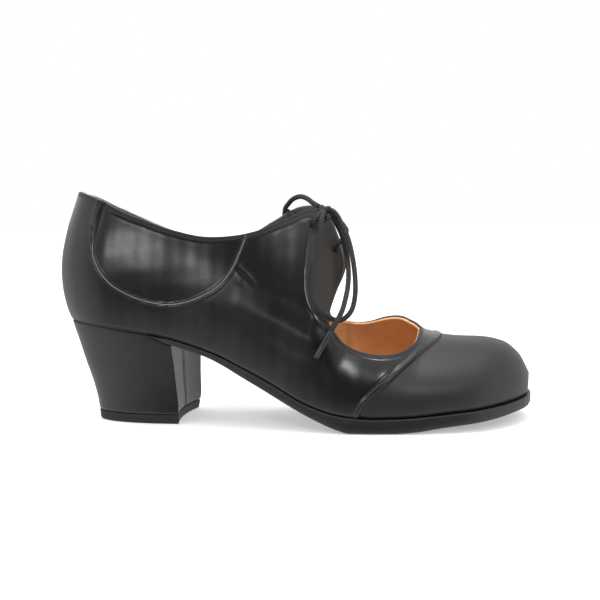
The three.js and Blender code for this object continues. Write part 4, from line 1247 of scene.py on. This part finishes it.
class SHOE_OT_lace(bpy.types.Operator):
    """Lay the lace: the bar through the holes, the knot, two loops, the free end and its tip"""

    bl_idname = "shoe.lace"
    bl_label = "Lace"

    def execute(self, context):
        colours, sizes = context.scene.shoe_colours, context.scene.shoe_sizes
        radius = sizes.lace / 2 / MM
        cotton = woven_lace(colours.lace)
        cords = {}
        for node_name, points in (
            ("lace_bar", LACE_BAR),
            ("lace_outer_loop", OUTER_LOOP),
            ("lace_inner_loop", INNER_LOOP),
            ("lace_end", OUTER_END),
        ):
            mesh, route = sweep(node_name + "_cord", points, radius)
            cords[node_name] = (put(mesh, [cotton], 60, node_name), route)
        mesh, _ = sweep("lace_knot_cord", knot_route(), radius * 0.98, step=0.5, closed=True)
        knot = put(mesh, [cotton], 60, "lace_knot")
        a, b = (Vector(p) * MM for p in AGLET)
        tip = rod((a + b) / 2, b - a, AGLET_WIDTH / 2 * MM, (b - a).length)
        tip.name = tip.data.name = "lace_tip"
        finish(tip, "BEVEL", "ease", width=0.0005, segments=3, limit_method="ANGLE")
        choose(tip)
        bpy.ops.object.transform_apply(location=True, rotation=True, scale=True)
        # black acetate film rolled round the lace's end: smooth and shiny
        tip.data.materials.append(plain_finish("rolled_acetate", colours.tip, colour("#303030"), 3.0, (0.22, 0.3)))
        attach(tip, "root")
        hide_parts("lace_aglet")
        shade(tip, 40)
        for node_name, far_end, lay, others in (
            ("lace_bar", "object", "taut", []),
            ("lace_outer_loop", "knot", "hanging", [knot]),
            ("lace_inner_loop", "knot", "hanging", []),
            ("lace_end", "fitting", "hanging", [tip]),
        ):
            piece, route = cords[node_name]
        return {"FINISHED"}


def add_lamp(light, place_at, aim, power):
    """Hang a lamp that the camera doesn't see, aimed at a point."""
    light.energy = power
    lamp = bpy.data.objects.new(light.name, light)
    lamp.location = place_at
    lamp.rotation_euler = (Vector(aim) - Vector(place_at)).to_track_quat("-Z", "Y").to_euler()
    lamp.visible_camera = False
    bpy.context.collection.objects.link(lamp)


class SHOE_OT_stage(bpy.types.Operator):
    """Set the camera, the floor and the soft studio light"""

    bl_idname = "shoe.stage"
    bl_label = "Stage"

    def execute(self, context):
        scene = context.scene
        data = bpy.data.cameras.new("camera")
        data.lens, data.sensor_width = SENSOR * CAMERA_FOCUS / PHOTO_WIDTH, SENSOR
        data.clip_end = 50
        camera = bpy.data.objects.new("camera", data)
        scene.collection.objects.link(camera)
        turn = (Matrix.Rotation(math.radians(CAMERA_YAW), 4, "Z")
                @ Matrix.Rotation(math.radians(90 - CAMERA_PITCH), 4, "X")
                @ Matrix.Rotation(math.radians(CAMERA_ROLL), 4, "Z"))
        camera.matrix_world = Matrix.Translation(CAMERA_AT) @ turn
        scene.camera = camera
        bpy.ops.object.select_all(action="DESELECT")
        bpy.ops.mesh.primitive_plane_add(size=6, location=(0.08, 0, -0.0002))
        floor = context.active_object
        floor.name = floor.data.name = "floor"
        floor.data.materials.append(studio_floor())
        floor.visible_glossy = False
        for name, place_at, aim, size, power in LIGHTS:
            light = bpy.data.lights.new(name, "AREA")
            light.shape = "RECTANGLE"
            light.size, light.size_y = size
            add_lamp(light, place_at, aim, power)
        place_at, aim, cone, power = OPENING_SPOT
        light = bpy.data.lights.new("opening spot", "SPOT")
        light.spot_size, light.spot_blend, light.shadow_soft_size = math.radians(cone), 0.6, 0.03
        add_lamp(light, place_at, aim, power)
        world = bpy.data.worlds.new("studio")
        world.use_nodes = True
        tree = world.node_tree
        tree.nodes.clear()
        # a dark studio in front of the shoe, bright walls left, right, above and behind it
        sky = node(tree, "SeparateXYZ", Vector=node(tree, "TexCoord").outputs["Generated"])
        level = node(tree, "MapRange", Value=sky.outputs[1], From_Min=-1.0, From_Max=1.0)
        stops = [((y + 1) / 2, (v, v, v, 1)) for y, v in WALLS]
        tint = node(tree, "ValToRGB", Fac=level, stops=stops)
        # the camera sees plain white behind the shoe, whatever lights it
        lit = node(tree, "Background", Color=tint, Strength=1.0)
        white = node(tree, "Background", Color=(1, 1, 1, 1), Strength=1.0)
        seen = node(tree, "LightPath").outputs["Is Camera Ray"]
        node(tree, "OutputWorld", Surface=node(tree, "MixShader", i0=seen, i1=lit, i2=white))
        scene.world = world
        scene.view_settings.view_transform = "Standard"
        return {"FINISHED"}


# The camera fitted to the photo: focus in pixels, angles in degrees, place in metres
PHOTO_WIDTH, SENSOR = 600, 36
CAMERA_FOCUS, CAMERA_YAW, CAMERA_PITCH, CAMERA_ROLL = 1050.8, 7.1345, 6.1222, -1.1536
CAMERA_AT = (0.154572, -0.549499, 0.122061)
# How bright the studio's walls are by their direction's y
WALLS = (
    (-1.0, 0.03), (-0.95, 0.05), (-0.88, 0.24), (-0.8, 0.75), (-0.7, 1.0), (-0.4, 1.25), (0.0, 1.2), (0.8, 0.9),
)
# The lamps: name, place, aim and size in metres, watts. The windows show as highlights in the polished calf.
LIGHTS = (
    ("top softbox", (0.10, -0.05, 1.3), (0.08, 0.0, 0.05), (1.4, 1.1), 5.4),
    ("panel window", (-0.165, -0.515, 0.120), (0.004, -0.032, 0.090), (0.04, 0.07), 0.21),
    ("vamp window", (0.22, -0.445, 0.22), (0.13, -0.04, 0.027), (0.07, 0.05), 0.17),
    ("seam window", (0.21, -0.43, 0.24), (0.132, -0.039, 0.028), (0.05, 0.02), 0.14),
    ("band window", (-0.037, -0.473, 0.073), (0.080, -0.037, 0.055), (0.08, 0.03), 0.02),
)
# The spot that reaches the lining through the opening: place, aim, cone in degrees, watts
OPENING_SPOT = ((0.13, -0.30, 0.85), (0.134, 0.016, 0.03), 4.6, 85.0)


class SHOE_PT_panel(bpy.types.Panel):
    """Lists the shoe's pieces, sizes and colours"""

    bl_idname = "SHOE_PT_panel"
    bl_label = "Laced flamenco shoe"
    bl_space_type = "VIEW_3D"
    bl_region_type = "UI"
    bl_category = "Shoe"

    def draw(self, context):
        for made in OPERATORS:
            self.layout.operator(made.bl_idname)
        for group in (context.scene.shoe_sizes, context.scene.shoe_colours):
            for name in group.__annotations__:
                self.layout.prop(group, name)


OPERATORS = (SHOE_OT_stage, SHOE_OT_lace, SHOE_OT_upper, SHOE_OT_stitching, SHOE_OT_sole, SHOE_OT_heel)
CLASSES = (ShoeSizes, ShoeColours, *OPERATORS, SHOE_PT_panel)


def register():
    for made in CLASSES:
        bpy.utils.register_class(made)
    bpy.types.Scene.shoe_sizes = bpy.props.PointerProperty(type=ShoeSizes)
    bpy.types.Scene.shoe_colours = bpy.props.PointerProperty(type=ShoeColours)


def unregister():
    del bpy.types.Scene.shoe_colours
    del bpy.types.Scene.shoe_sizes
    for made in reversed(CLASSES):
        bpy.utils.unregister_class(made)


def main():
    register()
    bpy.ops.shoe.stage()
    bpy.ops.shoe.lace()
    bpy.ops.shoe.upper()
    bpy.ops.shoe.stitching()
    bpy.ops.shoe.sole()
    bpy.ops.shoe.heel()


if __name__ == "__main__":
    main()
